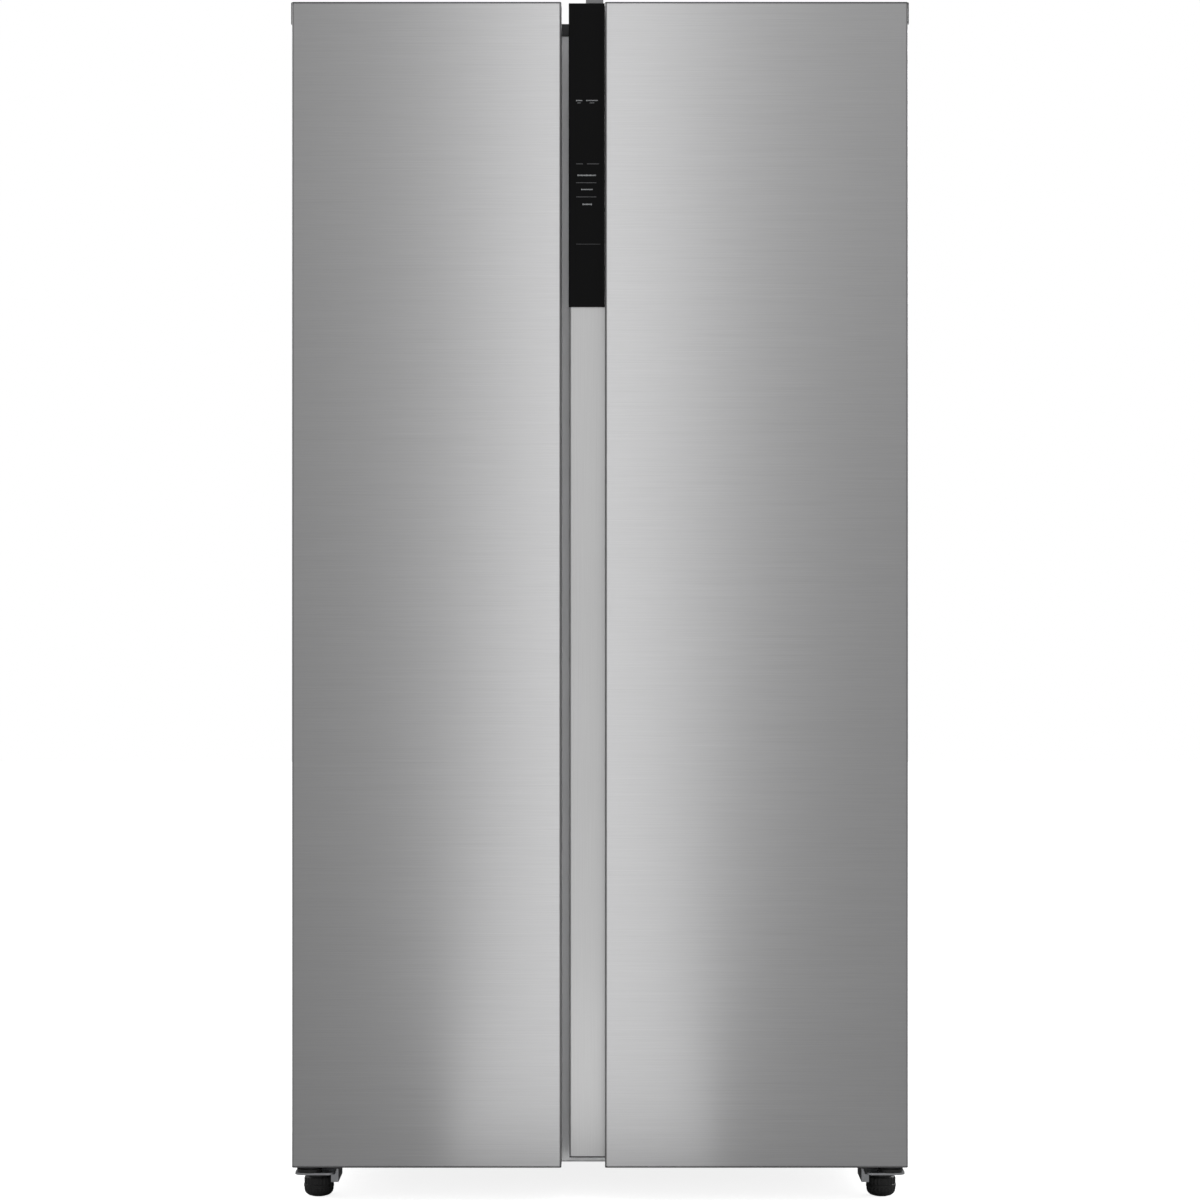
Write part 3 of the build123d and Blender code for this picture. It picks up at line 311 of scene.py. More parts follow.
LOOKS = {
    "stainless": stainless(),
    "profile": drawn_metal("satin_profile", (0.90, 0.90, 0.90), 0.44),
    "case": painted_steel("case_paint_grey", (0.150, 0.152, 0.156)),
    "front_frame": painted_steel("front_frame_paint", (0.90, 0.90, 0.91)),
    "back": galvanised(),
    "zinc": zinc(),
    "black_steel": painted_steel("black_paint", (0.012, 0.012, 0.013), 0.35),
    "liner": plastic("liner_white", (0.86, 0.875, 0.88), 0.40, 0.00001, 900),
    "cap": plastic("cap_dark_grey", (0.058, 0.058, 0.060), 0.48, specular=0.2),
    "black": plastic("black_plastic", (0.012, 0.012, 0.012), 0.42, wear=(0.05, 0.05, 0.05)),
    "cover": plastic("cover_dark_plastic", (0.040, 0.040, 0.042), 0.45, 0.00004, 700),
    "plug": plastic("plug_grey", (0.19, 0.19, 0.195), 0.45),
    "tray": plastic("tray_grey", (0.10, 0.105, 0.11), 0.5),
    "trim": plastic("trim_silver", (0.62, 0.63, 0.64), 0.36, 0.00001, metallic=0.35),
    "bins": clear_plastic("clear_bins", (0.97, 0.985, 0.99), 0.07, 0.94),
    "drawers": clear_plastic("clear_drawers", (0.95, 0.975, 0.985), 0.14, 0.88),
    "glass": shelf_glass(),
    "seal": rubber(),
    "foam": foam(),
    "panel": gloss_black(),
    "copper": drawn_metal("copper_pipe", (0.78, 0.42, 0.28), 0.32),
    "coil": drawn_metal("mill_aluminium", (0.72, 0.73, 0.74), 0.38),
    "light": lit_cover(),
    "legend": ink("legend_print", (0.34, 0.35, 0.36)),
    "legend_dim": ink("legend_print_dim", (0.085, 0.085, 0.09)),
}

NODE_LOOKS = {
    "left_side_panel": "case",
    "right_side_panel": "case",
    "top_panel": "case",
    "rear_panel": "back",
    "base_plate": "back",
    "freezer_liner": "liner",
    "fridge_liner": "liner",
    "cabinet_insulation": "foam",
    "partition_rail": "front_frame",
    "top_front_trim": "cap",
    "shelf_supports": "liner",
    "glass_shelves": "glass",
    "shelf_trims": "trim",
    "freezer_duct_cover": "liner",
    "fridge_duct_cover": "liner",
    "interior_lights": "light",
    "evaporator": "coil",
    "evaporator_fan": "liner",
    "compressor": "black_steel",
    "condenser_coil": "black_steel",
    "condenser_fan": "black",
    "condenser_fan_frame": "black",
    "drain_tray": "tray",
    "machine_cover": "cover",
    "mains_gland": "black",
    "control_board_cover": "back",
    "top_hinges": "zinc",
    "hinge_covers": "cap",
    "bottom_hinges": "zinc",
    "closer_cams": "black",
    "roller_brackets": "zinc",
    "cabinet_screws": "zinc",
    "left_foot": "black",
    "right_foot": "black",
    "left_rear_roller": "black",
    "right_rear_roller": "black",
    "freezer_drawer_lower": "drawers",
    "freezer_drawer_upper": "drawers",
    "crisper_drawer_lower": "drawers",
    "crisper_drawer_upper": "drawers",
    "control_panel": "panel",
    "handle_top_plug": "plug",
}
DOOR_LOOKS = {
    "door_skin": "stainless",
    "door_liner": "liner",
    "door_insulation": "foam",
    "door_top_cap": "cap",
    "door_bottom_cap": "cap",
    "door_gasket": "seal",
    "handle_profile": "profile",
    "door_bin_supports": "liner",
    "door_bins": "bins",
}
for door in ("freezer", "fridge"):
    NODE_LOOKS.update({f"{door}_{node}": look for node, look in DOOR_LOOKS.items()})


def dress_nodes():
    """Gives every carried-over CAD node its material."""
    for name, obj in NODES.items():
        obj.data.materials.clear()
        obj.data.materials.append(LOOKS[NODE_LOOKS[name]])


# ---------------------------------------------------------------- forms for the detail pieces
FORWARD, BACKWARD = Vector((0, -1, 0)), Vector((0, 1, 0))
DOWN, UP = Vector((0, 0, -1)), Vector((0, 0, 1))


def mm(*values):
    """A point or a size given in millimetres."""
    return Vector(values) * MM


def aim(place, direction):
    """A placement whose own +Z points along direction."""
    return Matrix.Translation(place) @ direction.to_track_quat("Z", "Y").to_matrix().to_4x4()


def along_x(place):
    """A placement whose own X and Y are the frame's Y and Z, so that a prism in it runs along X."""
    turn = Matrix(((0, 0, 1), (1, 0, 0), (0, 1, 0))).to_4x4()
    return Matrix.Translation(place) @ turn


def solids(node):
    """The box of each separate solid of a CAD node, from the lowest up and from left to right."""
    part = bmesh.new()
    part.from_mesh(NODES[node].data)
    bmesh.ops.remove_doubles(part, verts=part.verts, dist=1e-6)
    unseen, boxes = set(part.verts), []
    while unseen:
        waiting, found = [unseen.pop()], []
        while waiting:
            vert = waiting.pop()
            found.append(vert.co)
            for edge in vert.link_edges:
                other = edge.other_vert(vert)
                if other in unseen:
                    unseen.remove(other)
                    waiting.append(other)
        axes = list(zip(*found))
        boxes.append((Vector(min(a) for a in axes), Vector(max(a) for a in axes)))
    part.free()
    return sorted(boxes, key=lambda box: tuple(round(c, 4) for c in (box[0].z, box[0].x, box[0].y)))


class Form:
    """A mesh made of closed forms, in metres in the row frame."""

    def __init__(self):
        self.mesh = bmesh.new()

    def join(self, part, place=None):
        """Takes in another mesh, moved to its placement."""
        if place is not None:
            bmesh.ops.transform(part, matrix=place, verts=part.verts)
        bmesh.ops.recalc_face_normals(part, faces=part.faces)
        mesh = bpy.data.meshes.new("part")
        part.to_mesh(mesh)
        part.free()
        self.mesh.from_mesh(mesh)
        bpy.data.meshes.remove(mesh)
        return self

    def block(self, low, high, edge=0.0006, steps=2):
        """A box with rounded edges."""
        part = bmesh.new()
        bmesh.ops.create_cube(part, size=1)
        for vert in part.verts:
            vert.co = Vector(lo + (c + 0.5) * (hi - lo) for c, lo, hi in zip(vert.co, low, high))
        bmesh.ops.bevel(part, geom=part.edges[:], offset=edge, segments=steps,
                        profile=0.5, affect="EDGES")
        return self.join(part)

    def rows(self, rows, place=None, capped=True):
        """A closed skin over rows of points, each row a closed loop of the same length."""
        part = bmesh.new()
        loops = [[part.verts.new(point) for point in row] for row in rows]
        for a, b in zip(loops, loops[1:]):
            for i, vert in enumerate(a):
                part.faces.new((a[i - 1], vert, b[i], b[i - 1]))
        if capped:
            part.faces.new(loops[0])
            part.faces.new(loops[-1])
        else:
            for i, vert in enumerate(loops[-1]):
                part.faces.new((loops[-1][i - 1], vert, loops[0][i], loops[0][i - 1]))
        return self.join(part, place)

    def turned(self, profile, place, steps=SEGMENTS, flutes=0, depth=0.0):
        """A profile of (radius, height, fluted) in mm turned about Z; the fluted rows are pressed in."""
        rows = []
        for radius, height, fluted in profile:
            row = []
            for step in range(steps):
                angle = math.tau * step / steps
                r = radius - fluted * depth * (0.5 - 0.5 * math.cos(flutes * angle))
                row.append(mm(r * math.cos(angle), r * math.sin(angle), height))
            rows.append(row)
        return self.rows(rows, place)

    def thread(self, radius, root, pitch, length, place, steps=24):
        """A screw thread with a crest and a root radius, in mm."""
        rows = []
        count = int(length / pitch * 4)
        for k in range(count + 1):
            row = []
            for step in range(steps):
                turn = step / steps
                wave = abs(((k / 4 - turn) % 1.0) - 0.5) * 2
                r = root + (radius - root) * wave
                angle = math.tau * turn
                row.append(mm(r * math.cos(angle), r * math.sin(angle), k * pitch / 4))
            rows.append(row)
        return self.rows(rows, place)

    def prism(self, outline, length, place):
        """An outline in mm pushed along its placement's Z by length."""
        return self.rows([[mm(x, y, z) for x, y in outline] for z in (0, length)], place)

    def frame(self, low, high, section):
        """A mitred frame round a rectangle in XZ; section is (inset, y) in metres, a closed line."""
        rows = []
        for inset, y in section:
            x0, x1, z0, z1 = low.x + inset, high.x - inset, low.z + inset, high.z - inset
            rows.append([(x0, y, z0), (x1, y, z0), (x1, y, z1), (x0, y, z1)])
        return self.rows(rows, capped=False)

    def bead(self, start, end, width, height, out):
        """A pressed rib with round ends, from start to end on a face that looks along out."""
        place = aim((start + end) / 2, out)
        run = place.inverted().to_3x3() @ (end - start)
        half, lie = run.length / 2, math.atan2(run.y, run.x)
        rows, steps = [], 8
        for angle in (-10, 0, 20, 40, 60, 75, 85):
            r = width / 2 * math.cos(math.radians(max(angle, 0)))
            z = height * math.sin(math.radians(angle))
            row = []
            for side in (0, 1):
                for step in range(steps + 1):
                    a = lie + math.pi * (side - 0.5 + step / steps)
                    shift = half * (1 - 2 * side)
                    x = shift * math.cos(lie) + r * math.cos(a)
                    y = shift * math.sin(lie) + r * math.sin(a)
                    row.append((x, y, z))
            rows.append(row)
        return self.rows(rows, place)

    def hexagon(self, across, low, high, place):
        """A hexagonal prism with chamfered ends, in mm."""
        rows = []
        for shrink, height in ((0.92, low), (1.0, low + 0.4), (1.0, high - 0.5), (0.9, high)):
            r = across / math.sqrt(3) * shrink
            rows.append([mm(r * math.cos(a), r * math.sin(a), height) for a in
                         (math.tau * k / 6 for k in range(6))])
        return self.rows(rows, place)

    def screw(self, place, out, size=4.0, height=2.6):
        """A washer-head screw that looks along out; size is the washer's radius in mm."""
        put = aim(place, out)
        washer = [(size, 0, 0), (size, 0.5, 0), (size * 0.92, 0.8, 0), (size * 0.6, 0.95, 0)]
        self.turned(washer, put, 28)
        self.hexagon(size * 1.35, 0.6, height, put)
        dimple = [(size * 0.34, height - 0.05, 0), (size * 0.34, height + 0.06, 0),
                  (size * 0.2, height - 0.2, 0)]
        return self.turned(dimple, put, 20)

    def tube(self, points, radius):
        """A pipe on a smooth line through points in mm."""
        curve = bpy.data.curves.new("pipe", "CURVE")
        curve.dimensions = "3D"
        curve.bevel_depth = radius * MM
        curve.bevel_resolution = 4
        curve.use_fill_caps = True
        spline = curve.splines.new("BEZIER")
        spline.bezier_points.add(len(points) - 1)
        for knot, point in zip(spline.bezier_points, points):
            knot.co = mm(*point)
            knot.handle_left_type = knot.handle_right_type = "AUTO"
        obj = bpy.data.objects.new("pipe", curve)
        bpy.context.scene.collection.objects.link(obj)
        evaluated = obj.evaluated_get(bpy.context.evaluated_depsgraph_get())
        mesh = bpy.data.meshes.new_from_object(evaluated)
        self.mesh.from_mesh(mesh)
        bpy.data.objects.remove(obj)
        bpy.data.curves.remove(curve)
        bpy.data.meshes.remove(mesh)
        return self


def piece(name, form, look, body, stands_for=(), smooth=32):
    """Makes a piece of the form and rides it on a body."""
    mesh = bpy.data.meshes.new(name)
    form.mesh.to_mesh(mesh)
    form.mesh.free()
    mesh.shade_smooth()
    mesh.set_sharp_from_angle(angle=math.radians(smooth))
    mesh.materials.append(LOOKS[look])
    obj = bpy.data.objects.new(name, mesh)
    bpy.context.scene.collection.objects.link(obj)
    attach(obj, body)
    if stands_for:
        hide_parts(*stands_for)
    return obj


# ---------------------------------------------------------------- feet, hinges and screws
def make_feet():
    """Levelling feet: a fluted knob, its threaded stud and a lock nut."""
    knob = [(11, 0, 0), (12.5, 0.5, 0), (16.2, 1.7, 0), (19.4, 4.2, 0), (21.3, 7.3, 0.4), (22, 10.5, 1),
            (22, 13.4, 1), (22.5, 14, 0), (22.5, 18, 0), (22, 18.6, 1), (22, 26.4, 1), (21.4, 28.4, 0.3),
            (20.2, 29.6, 0), (19.2, 30.6, 0), (18.8, 36, 0), (18.2, 40, 0), (17, 41, 0)]
    stud_start = 30
    for side in ("left", "right"):
        low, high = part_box(f"{side}_foot")
        place = Matrix.Translation(((low.x + high.x) / 2, (low.y + high.y) / 2, 0))
        body = f"{side}_foot"
        fluted = Form().turned(knob, place, 144, 24, 1.1)
        piece(f"{side}_foot_knob", fluted, "black", body, [body])
        stud_place = place @ Matrix.Translation(mm(0, 0, stud_start))
        stud = Form().thread(5.0, 4.25, 1.6, high.z / MM - stud_start, stud_place)
        stud.hexagon(15, 41, 44, place)
        piece(f"{side}_foot_stud", stud, "zinc", body, [body])


COVER_SCREW = 3.6, 2.0  # radius and height in mm of the small screws at the back
BACK_SHEET_BOTTOM, BACK_SCREW_ROWS = 360 * MM, 7
BRACKET_SCREWS_X, BRACKET_FACE, BRACKET_SCREWS_Z = (406, 436), -277, 65  # mm


def make_screws():
    """Every screw of the CAD node as a washer-head screw, and the small ones that CAD leaves out."""
    form = Form()
    for low, high in solids("cabinet_screws"):
        size = high - low
        middle = (low + high) / 2
        faces_up = size.y > 0.9 * size.x
        if faces_up:
            form.screw(Vector((middle.x, middle.y, high.z - 3 * MM)), UP, 5.4)
        else:
            form.screw(Vector((middle.x, low.y, middle.z)), BACKWARD, size.x / MM / 2)
    piece("cabinet_screw_heads", form, "zinc", "cabinet", ["cabinet_screws"])
    small = Form()
    low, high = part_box("rear_panel")
    for x in (low.x + 9 * MM, high.x - 9 * MM):
        pitch = (high.z - 20 * MM - BACK_SHEET_BOTTOM) / (BACK_SCREW_ROWS - 1)
        for step in range(BACK_SCREW_ROWS):
            small.screw(Vector((x, high.y, BACK_SHEET_BOTTOM + step * pitch)), BACKWARD, *COVER_SCREW)
    low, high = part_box("machine_cover")
    for x in (-0.30, -0.10, 0.10, 0.30):
        for z in (low.z + 9 * MM, high.z - 9 * MM):
            small.screw(Vector((x, high.y, z)), BACKWARD, *COVER_SCREW)
    piece("back_cover_screws", small, "zinc", "cabinet")
    flat = Form()
    head = [(5, -0.3, 0), (5, 0.4, 0), (4.2, 1.1, 0), (2.2, 1.1, 0), (1.9, 0.5, 0)]
    for side in (-1, 1):
        for x in BRACKET_SCREWS_X:
            flat.turned(head, aim(mm(side * x, BRACKET_FACE, BRACKET_SCREWS_Z), FORWARD), 28)
    piece("bracket_screws", flat, "zinc", "cabinet")


# ---------------------------------------------------------------- the control panel's legends
def make_legends():
    """Generic signs on the touch panel: ticked bars and lines, placed in mm from its left edge and top."""
    low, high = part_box("control_panel")
    face = low.y / MM

    def bar(form, x0, x1, below, height):
        z = high.z / MM - below
        x = low.x / MM
        start = mm(x + x0, face - 0.12, z - height / 2)
        form.block(start, mm(x + x1, face + 0.2, z + height / 2), 0.00004, 1)

    def ticks(form, x0, x1, below, tall):
        x, index = x0, 0
        while x < x1 - 0.5:
            width = (1.5, 0.8, 1.1)[index % 3]
            bar(form, x, min(x + width, x1), below, tall if index % 4 else tall * 1.25)
            x, index = x + width + 0.45, index + 1

    bright, dim = Form(), Form()
    ticks(bright, 11, 20.5, 144.4, 1.4)
    ticks(bright, 26, 43.5, 144.4, 1.4)
    bar(bright, 13, 18, 147.9, 0.5)
    bar(bright, 31, 38, 147.9, 0.5)
    for x0, x1 in ((11, 21), (27, 45)):
        bar(dim, x0, x1, 238.4, 1.0)
    ticks(bright, 13, 40.5, 255.4, 1.9)
    bar(dim, 11, 41, 266.4, 0.9)
    ticks(bright, 18.5, 36, 276.4, 1.5)
    bar(dim, 11, 41, 287.4, 0.9)
    ticks(bright, 20.5, 35, 298.4, 1.9)
    bar(dim, 11, 47, 357.4, 0.5)
    piece("panel_legends", bright, "legend", "fridge_door")
    piece("panel_lines", dim, "legend_dim", "fridge_door")


# ---------------------------------------------------------------- doors
SEAL_SECTION = [  # (inset, depth) in mm from the outer edge and from the door
    (0, 0), (0, 1.2), (1.2, 1.8), (3.0, 2.0), (3.8, 3.2), (2.2, 4.4), (1.4, 5.4), (2.6, 6.4), (1.9, 7.3),
    (1.4, 8.3), (1.7, 10.0), (2.6, 10.6), (5.5, 10.6), (6.0, 10.25), (6.5, 10.6), (9.5, 10.6),
    (10.0, 10.25), (10.5, 10.6), (13.4, 10.6), (14.3, 10.0), (14.6, 8.3), (14.1, 7.3), (13.4, 6.4),
    (14.6, 5.4), (13.8, 4.4), (12.2, 3.2), (13.0, 2.0), (14.8, 1.8), (16, 1.2), (16, 0)]
BIN_BAND_HEIGHT = 72 * MM  # of the top of a bin's front above its floor


def make_seals():
    """Magnetic door seals with their bellows, mitred at the corners."""
    for door in ("freezer", "fridge"):
        low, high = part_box(f"{door}_door_gasket")
        section = [(inset * MM, low.y + depth * MM) for inset, depth in SEAL_SECTION]
        seal = Form().frame(low, high, section)
        body, gasket = f"{door}_door", f"{door}_door_gasket"
        piece(f"{door}_door_seal", seal, "seal", body, [gasket], smooth=50)


def make_bin_trims():
    """A satin band across the front of each door bin, and ribs under it."""
    for door in ("freezer", "fridge"):
        band, ribs = Form(), Form()
        for low, high in solids(f"{door}_door_bins"):
            top = low.z + BIN_BAND_HEIGHT
            band.block((low.x + 5 * MM, high.y - 0.4 * MM, top - 13 * MM),
                       (high.x - 5 * MM, high.y + 1.4 * MM, top - 3 * MM))
            count = int((high.x - low.x) / (30 * MM))
            for k in range(1, count):
                x = low.x + (high.x - low.x) * k / count
                ribs.block((x - 0.7 * MM, high.y - 0.3 * MM, low.z + 6 * MM),
                           (x + 0.7 * MM, high.y + 0.6 * MM, top - 16 * MM), 0.0003, 1)
        piece(f"{door}_bin_bands", band, "trim", f"{door}_door")
        piece(f"{door}_bin_ribs", ribs, "bins", f"{door}_door")


# ---------------------------------------------------------------- inside the cabinet
def make_shelf_frames():
    """White side mouldings and a raised back lip on each glass shelf."""
    form = Form()
    for low, high in solids("glass_shelves"):
        for x0, x1 in ((low.x, low.x + 9 * MM), (high.x - 9 * MM, high.x)):
            form.block((x0, low.y + 14 * MM, high.z - 0.3 * MM), (x1, high.y - 7 * MM, high.z + 3 * MM))
        lip = high.y - 8 * MM
        form.block((low.x, lip, high.z - 0.3 * MM), (high.x, high.y, high.z + 9 * MM), 0.0015, 3)
    piece("shelf_frames", form, "liner", "cabinet")


def make_light_covers():
    """Prismatic covers of the ceiling lights."""
    form, count = Form(), 16
    for low, high in solids("interior_lights"):
        form.block((low.x, low.y, low.z + 2.5 * MM), high, 0.0015, 3)
        pitch = (high.y - low.y - 8 * MM) / count
        for k in range(count):
            y = low.y + 4 * MM + (k + 0.5) * pitch
            tooth = [(-pitch / MM / 2 + 0.2, 3.2), (0, 0.3), (pitch / MM / 2 - 0.2, 3.2)]
            place = along_x(Vector((low.x + 5 * MM, y, low.z)))
            form.prism(tooth, (high.x - low.x) / MM - 10, place)
    piece("light_covers", form, "light", "cabinet", ["interior_lights"])


DRAWERS = [f"{kind}_drawer_{level}" for kind in ("freezer", "crisper") for level in ("lower", "upper")]
GRIP_WIDTH, DRAWER_RIBS = 150, 11


def make_drawer_trims():
    """A white moulding with a satin line and a grip lip across each drawer's front, and ribs below it."""
    lip = [(0.6, -34), (-2.0, -34), (-5.2, -31.5), (-6.0, -29.2), (-5.0, -28.6), (-2.0, -30), (0.6, -30)]
    for name in DRAWERS:
        low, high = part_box(name)
        left, right, face, top = low.x + 8 * MM, high.x - 8 * MM, low.y, high.z
        grip_start = Vector(((left + right) / 2 - GRIP_WIDTH / 2 * MM, face, top))
        fascia = Form()
        fascia.block((left, face - 2.4 * MM, top - 30 * MM),
                     (right, face + 0.6 * MM, top - 2 * MM), 0.0012, 3)
        fascia.prism(lip, GRIP_WIDTH, along_x(grip_start))
        piece(f"{name}_fascia", fascia, "liner", name)
        line = Form().block((left + 12 * MM, face - 3.0 * MM, top - 12 * MM),
                            (right - 12 * MM, face - 2 * MM, top - 8 * MM))
        piece(f"{name}_line", line, "trim", name)
        ribs = Form()
        y = face + 0.1 * MM
        for k in range(1, DRAWER_RIBS + 1):
            x = low.x + (high.x - low.x) * k / (DRAWER_RIBS + 1)
            bottom, end = Vector((x, y, low.z + 22 * MM)), Vector((x, y, top - 52 * MM))
            ribs.bead(bottom, end, 3 * MM, 1.1 * MM, FORWARD)
        piece(f"{name}_ribs", ribs, "drawers", name)


# ---------------------------------------------------------------- back, top and underside
BACK_BEADS = [(x, 1700) for x in (-370, -290, -210, 210, 290, 370)]  # (x, top) in mm
BACK_BEADS += [(x, 1440) for x in (-100, 0, 100)]  # shorter, under the control board's cover
BACK_BEADS_BOTTOM = 390
BASE_BEADS_Y, BASE_BEADS_REACH = (-180, -110, -40, 30, 180, 250), 330
TOP_BEADS_X, TOP_BEADS_Y = (-300, -150, 0, 150, 300), (-100, 270)
SUNK = 0.1  # mm, how far a bead's foot lies in its sheet


def make_beads():
    """Stiffening beads pressed into the back sheet, the base plate and the top."""
    back, under, top = Form(), Form(), Form()
    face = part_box("rear_panel")[1].y / MM - SUNK
    for x, end in BACK_BEADS:
        back.bead(mm(x, face, BACK_BEADS_BOTTOM), mm(x, face, end), 14 * MM, 1.8 * MM, BACKWARD)
    piece("rear_beads", back, "back", "cabinet")
    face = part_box("base_plate")[0].z / MM + SUNK
    for y in BASE_BEADS_Y:
        under.bead(mm(-BASE_BEADS_REACH, y, face), mm(BASE_BEADS_REACH, y, face), 16 * MM, 2.4 * MM, DOWN)
    piece("base_beads", under, "back", "cabinet")
    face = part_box("top_panel")[1].z / MM - SUNK
    for x in TOP_BEADS_X:
        top.bead(mm(x, TOP_BEADS_Y[0], face), mm(x, TOP_BEADS_Y[1], face), 22 * MM, 1.6 * MM, UP)
    piece("top_beads", top, "case", "cabinet")


LOUVRE_COLUMNS, LOUVRE_ROWS, LOUVRE_WIDTH = 9, 7, 70
LOUVRE_PITCH, LOUVRE_START = (92, 24), (72, 38)  # mm along X and Z, from the cover's lower left corner
GLAND_ROWS = 2  # the lowest rows are left out of the first column, where the mains gland is


def make_louvres():
    """Hoods over the slots of the machine compartment's cover."""
    low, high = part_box("machine_cover")
    form = Form()
    hood = [(-0.3, 6.0), (0.6, 6.2), (2.6, 4.2), (3.9, 0.8), (4.2, -2.2), (3.2, -2.4), (2.9, 0.4),
            (1.8, 3.2), (-0.3, 4.4)]
    for column in range(LOUVRE_COLUMNS):
        for row in range(LOUVRE_ROWS):
            if column or row >= GLAND_ROWS:
                x = low.x / MM + LOUVRE_START[0] + LOUVRE_PITCH[0] * column - LOUVRE_WIDTH / 2
                z = low.z / MM + LOUVRE_START[1] + LOUVRE_PITCH[1] * row
                form.prism(hood, LOUVRE_WIDTH, along_x(mm(x, high.y / MM, z)))
    piece("machine_cover_louvres", form, "cover", "cabinet")


def make_pipework():
    """Copper lines, the drier and the compressor's terminal cover in the machine compartment."""
    pipes = Form()
    pipes.tube([(-150, 196, 150), (-120, 176, 128), (-84, 150, 84), (-30, 138, 66), (50, 140, 64),
                (98, 148, 84)], 3.2)
    pipes.tube([(-252, 186, 206), (-270, 160, 232), (-284, 138, 246), (-300, 128, 266)], 4.0)
    pipes.tube([(-176, 282, 132), (-150, 304, 140), (-142, 308, 164), (-142, 308, 196)], 3.0)
    pipes.tube([(-60, 316, 96), (-20, 316, 92), (40, 312, 88), (98, 300, 84)], 2.4)
    piece("refrigerant_lines", pipes, "copper", "cabinet")
    drier = [(2.4, 0, 0), (3.0, 3, 0), (9, 12, 0), (9, 74, 0), (3.0, 84, 0), (2.4, 88, 0)]
    body = Form().turned(drier, aim(mm(-148, 316, 96), Vector((1, 0, 0))), 32)
    piece("filter_drier", body, "copper", "cabinet")
    cover = Form().block(mm(-322, 196, 92), mm(-280, 252, 164), 0.004, 4)
    cover.block(mm(-326, 204, 100), mm(-321, 244, 156), 0.0015, 2)
    piece("terminal_cover", cover, "black", "cabinet")


HARNESS_X, HARNESS_REACH, HARNESS_END = 378, 12, 290  # mm; the cover's line, half width and rear end
HARNESS_CLIPS, CLIP_REACH = (-140, 0, 140, 260), 20


def make_top_details():
    """Hinge cover screws and the cover over the display's wiring, back from the right hinge."""
    form = Form()
    start = solids("hinge_covers")[-1][1].y / MM - 2
    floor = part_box("top_panel")[1].z / MM
    form.block(mm(HARNESS_X - HARNESS_REACH, start, floor - 0.2),
               mm(HARNESS_X + HARNESS_REACH, HARNESS_END, floor + 7), 0.003, 4)
    for y in HARNESS_CLIPS:
        form.block(mm(HARNESS_X - CLIP_REACH, y - 7, floor - 0.2),
                   mm(HARNESS_X + CLIP_REACH, y + 7, floor + 3.5), 0.001, 2)
    piece("harness_cover", form, "cap", "cabinet")
    screws = Form()
    for low, high in solids("hinge_covers"):
        side = math.copysign(1, low.x)
        place = Vector((side * HARNESS_X * MM, high.y - 20 * MM, high.z - 0.2 * MM))
        screws.screw(place, UP, 3.2, 1.4)
    for y in HARNESS_CLIPS:
        screws.screw(mm(HARNESS_X + CLIP_REACH - 3.5, y, floor + 3.4), UP, 2.6, 1.6)
    piece("top_screws", screws, "zinc", "cabinet")


def make_details():
    make_feet()
    make_screws()
    make_legends()
    make_seals()
    make_bin_trims()
    make_shelf_frames()
    make_light_covers()
    make_drawer_trims()
    make_beads()
    make_louvres()
    make_pipework()
    make_top_details()


# ---------------------------------------------------------------- stage, light and camera
CAMERA_DISTANCE = 4.5  # from the door faces
DOORS_WIDTH_SHARE = 0.51358  # of the picture's width
DOORS_TOP_SHARE = 0.4985  # of the picture's width, the door tops above its middle
# strength of the surround: in steel's reflections ahead and at the sides, on matt surfaces, through glass
WORLD_MIRRORED, WORLD_FLAGS, WORLD_MATT, WORLD_THROUGH = 0.37, 0.16, 0.92, 0.9
FLAGS_START, FLAGS_FULL = 0.45, 0.7  # how far sideways a direction points where the dark flags set in
FLOOR_ALBEDO, FLOOR_MIRRORED, FLOOR_GLOW = 0.80, 0.24, 0.84
FLOOR_REACH = 12.0
HIGHLIGHT_X = -0.03  # the line of the strip lights, mirrored as the doors' upright highlight
STRIP_HEIGHT, RIGHT_HEIGHT, FILL_HEIGHT = 2.2, 2.9, 0.98


def make_camera():
    low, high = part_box("fridge_door_skin")
    picture_width = 2 * high.x / DOORS_WIDTH_SHARE
    data = bpy.data.cameras.new("camera")
    data.sensor_width = 36.0
    data.lens = data.sensor_width * CAMERA_DISTANCE / picture_width
    camera = bpy.data.objects.new("camera", data)
    bpy.context.scene.collection.objects.link(camera)
    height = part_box("fridge_door_top_cap")[1].z - DOORS_TOP_SHARE * picture_width
    camera.location = (0, low.y - CAMERA_DISTANCE, height)
    camera.rotation_euler = (math.radians(90), 0, 0)
    bpy.context.scene.camera = camera


def area_light(name, size, place, target, power, spread=180):
    """A rectangular soft light that points at target."""
    data = bpy.data.lights.new(name, "AREA")
    data.shape = "RECTANGLE"
    data.size, data.size_y = size
    data.energy = power
    data.spread = math.radians(spread)
    obj = bpy.data.objects.new(name, data)
    bpy.context.scene.collection.objects.link(obj)
    obj.location = place
    obj.rotation_euler = (Vector(target) - Vector(place)).to_track_quat("-Z", "Y").to_euler()
    obj.visible_camera = False
    return obj


def light_path_mix(tree, start, values, socket=None):
    """A value, start or what socket gives, that differs for the kinds of ray in (kind, value) pairs."""
    path = tree.nodes.new("ShaderNodeLightPath")
    for kind, value in values:
        mix = tree.nodes.new("ShaderNodeMix")
        share, first, second = (next(s for s in mix.inputs if s.identifier == name)
                                for name in ("Factor_Float", "A_Float", "B_Float"))
        tree.links.new(path.outputs[kind], share)
        first.default_value, second.default_value = start, value
        if socket is not None:
            tree.links.new(socket, first)
        socket = mix.outputs[0]
    return socket


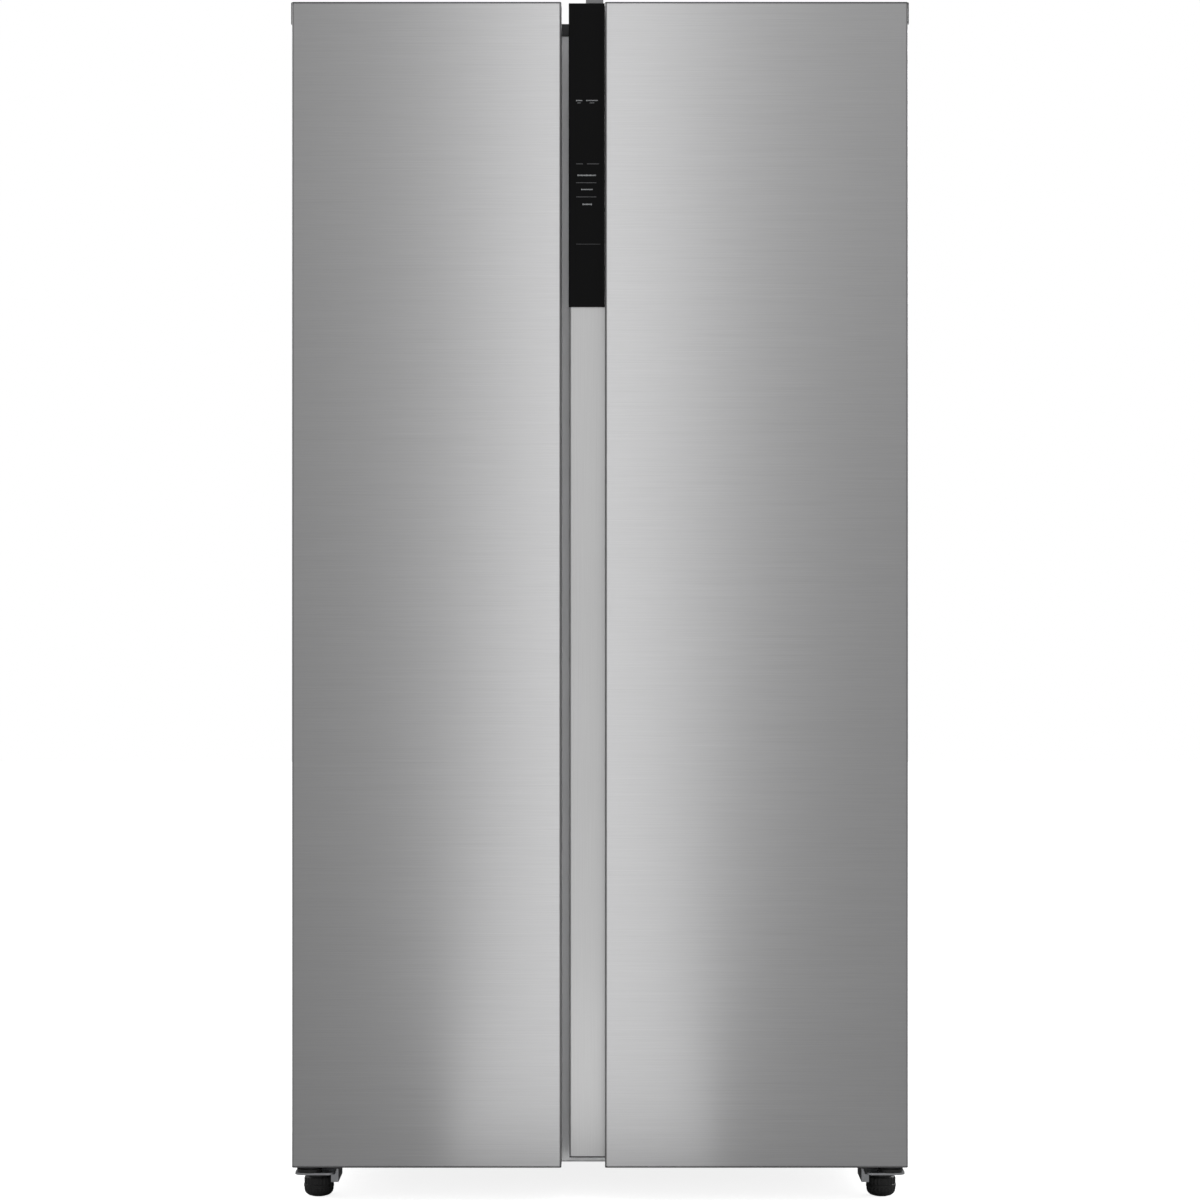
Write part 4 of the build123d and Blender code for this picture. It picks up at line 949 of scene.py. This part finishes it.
def make_world():
    """A white studio, brighter on matt surfaces than in steel's reflections, with dark flags at its sides."""
    world = bpy.data.worlds.new("studio")
    bpy.context.scene.world = world
    world.use_nodes = True
    tree = world.node_tree
    background = tree.nodes["Background"]
    background.inputs["Color"].default_value = (1, 1, 1, 1)
    direction = tree.nodes.new("ShaderNodeSeparateXYZ")
    tree.links.new(tree.nodes.new("ShaderNodeTexCoord").outputs["Generated"], direction.inputs[0])
    sideways = tree.nodes.new("ShaderNodeMath")
    sideways.operation = "ABSOLUTE"
    tree.links.new(direction.outputs["X"], sideways.inputs[0])
    flags = tree.nodes.new("ShaderNodeMapRange")
    levels = {"From Min": FLAGS_START, "From Max": FLAGS_FULL,
              "To Min": WORLD_MIRRORED, "To Max": WORLD_FLAGS}
    for socket, level in levels.items():
        flags.inputs[socket].default_value = level
    tree.links.new(sideways.outputs[0], flags.inputs["Value"])
    rays = [("Is Diffuse Ray", WORLD_MATT), ("Is Transmission Ray", WORLD_THROUGH), ("Is Camera Ray", 1.0)]
    strength = light_path_mix(tree, WORLD_MIRRORED, rays, flags.outputs["Result"])
    tree.links.new(strength, background.inputs["Strength"])
    world.cycles.sampling_method = "NONE"


def make_floor():
    """A white floor that fades into the surround and hides nothing from below; steel mirrors it darker."""
    look = Look("studio_floor", (FLOOR_ALBEDO,) * 3, 0.0, 0.7, specular_ior_level=0.0)
    tree = look.tree
    colour = tree.nodes.new("ShaderNodeCombineColor")
    albedo = light_path_mix(tree, FLOOR_ALBEDO, [("Is Glossy Ray", FLOOR_MIRRORED)])
    for channel in colour.inputs:
        tree.links.new(albedo, channel)
    tree.links.new(colour.outputs[0], look.shader.inputs["Base Color"])
    look.set("Emission Color", (1, 1, 1, 1))
    glow = light_path_mix(tree, 0.0, [("Is Camera Ray", FLOOR_GLOW)])
    tree.links.new(glow, look.shader.inputs["Emission Strength"])
    look.shade(look.noise(3), 0.99, 1.01)
    behind = look.node("ShaderNodeNewGeometry").outputs["Backfacing"]
    show = look.node("ShaderNodeMixShader")
    look.link(behind, show.inputs[0])
    look.link(look.shader.outputs[0], show.inputs[1])
    look.link(look.node("ShaderNodeBsdfTransparent").outputs[0], show.inputs[2])
    look.link(show.outputs[0], tree.nodes["Material Output"].inputs["Surface"])
    mesh = bpy.data.meshes.new("floor")
    corners = [(x * FLOOR_REACH, y * FLOOR_REACH, 0) for x, y in ((-1, -1), (1, -1), (1, 1), (-1, 1))]
    mesh.from_pydata(corners, [], [(0, 1, 2, 3)])
    mesh.materials.append(look.material)
    floor = bpy.data.objects.new("floor", mesh)
    bpy.context.scene.collection.objects.link(floor)


def make_stage():
    make_world()
    make_floor()
    x = HIGHLIGHT_X
    area_light("front_soft", (0.5, 4.8), (x, -5.2, STRIP_HEIGHT), (x, 0, STRIP_HEIGHT), 12.4)
    area_light("floor_far", (0.55, 3.0), (x, -3.7, 0.01), (x, -3.7, 1), 4.5)
    area_light("floor_near", (0.42, 1.6), (x, -1.40, 0.01), (x, -1.40, 1), 1.6)
    area_light("right_soft", (1.2, 2.4), (0.95, -5.2, RIGHT_HEIGHT), (0.95, 0, RIGHT_HEIGHT), 1.3)
    area_light("top_soft", (3.0, 3.0), (0, -0.6, 4.2), (0, 0.3, 0.8), 14, 120)
    for name, x, width, power in (("freezer_fill", -0.238, 0.24, 0.8), ("fridge_fill", 0.191, 0.36, 1.15)):
        area_light(name, (width, 1.4), (x, -0.2, FILL_HEIGHT), (x, 0.3, FILL_HEIGHT), power)
    area_light("rear_soft", (2.5, 2.5), (3.4, 3.2, 3.2), (0, 0.3, 0.9), 130)
    area_light("side_soft", (2.5, 2.5), (-4.6, 1.6, 2.8), (0, 0, 0.9), 30)


dress_nodes()
make_details()
make_camera()
make_stage()
bpy.context.scene.view_settings.view_transform = "Standard"

bpy.context.view_layer.update()
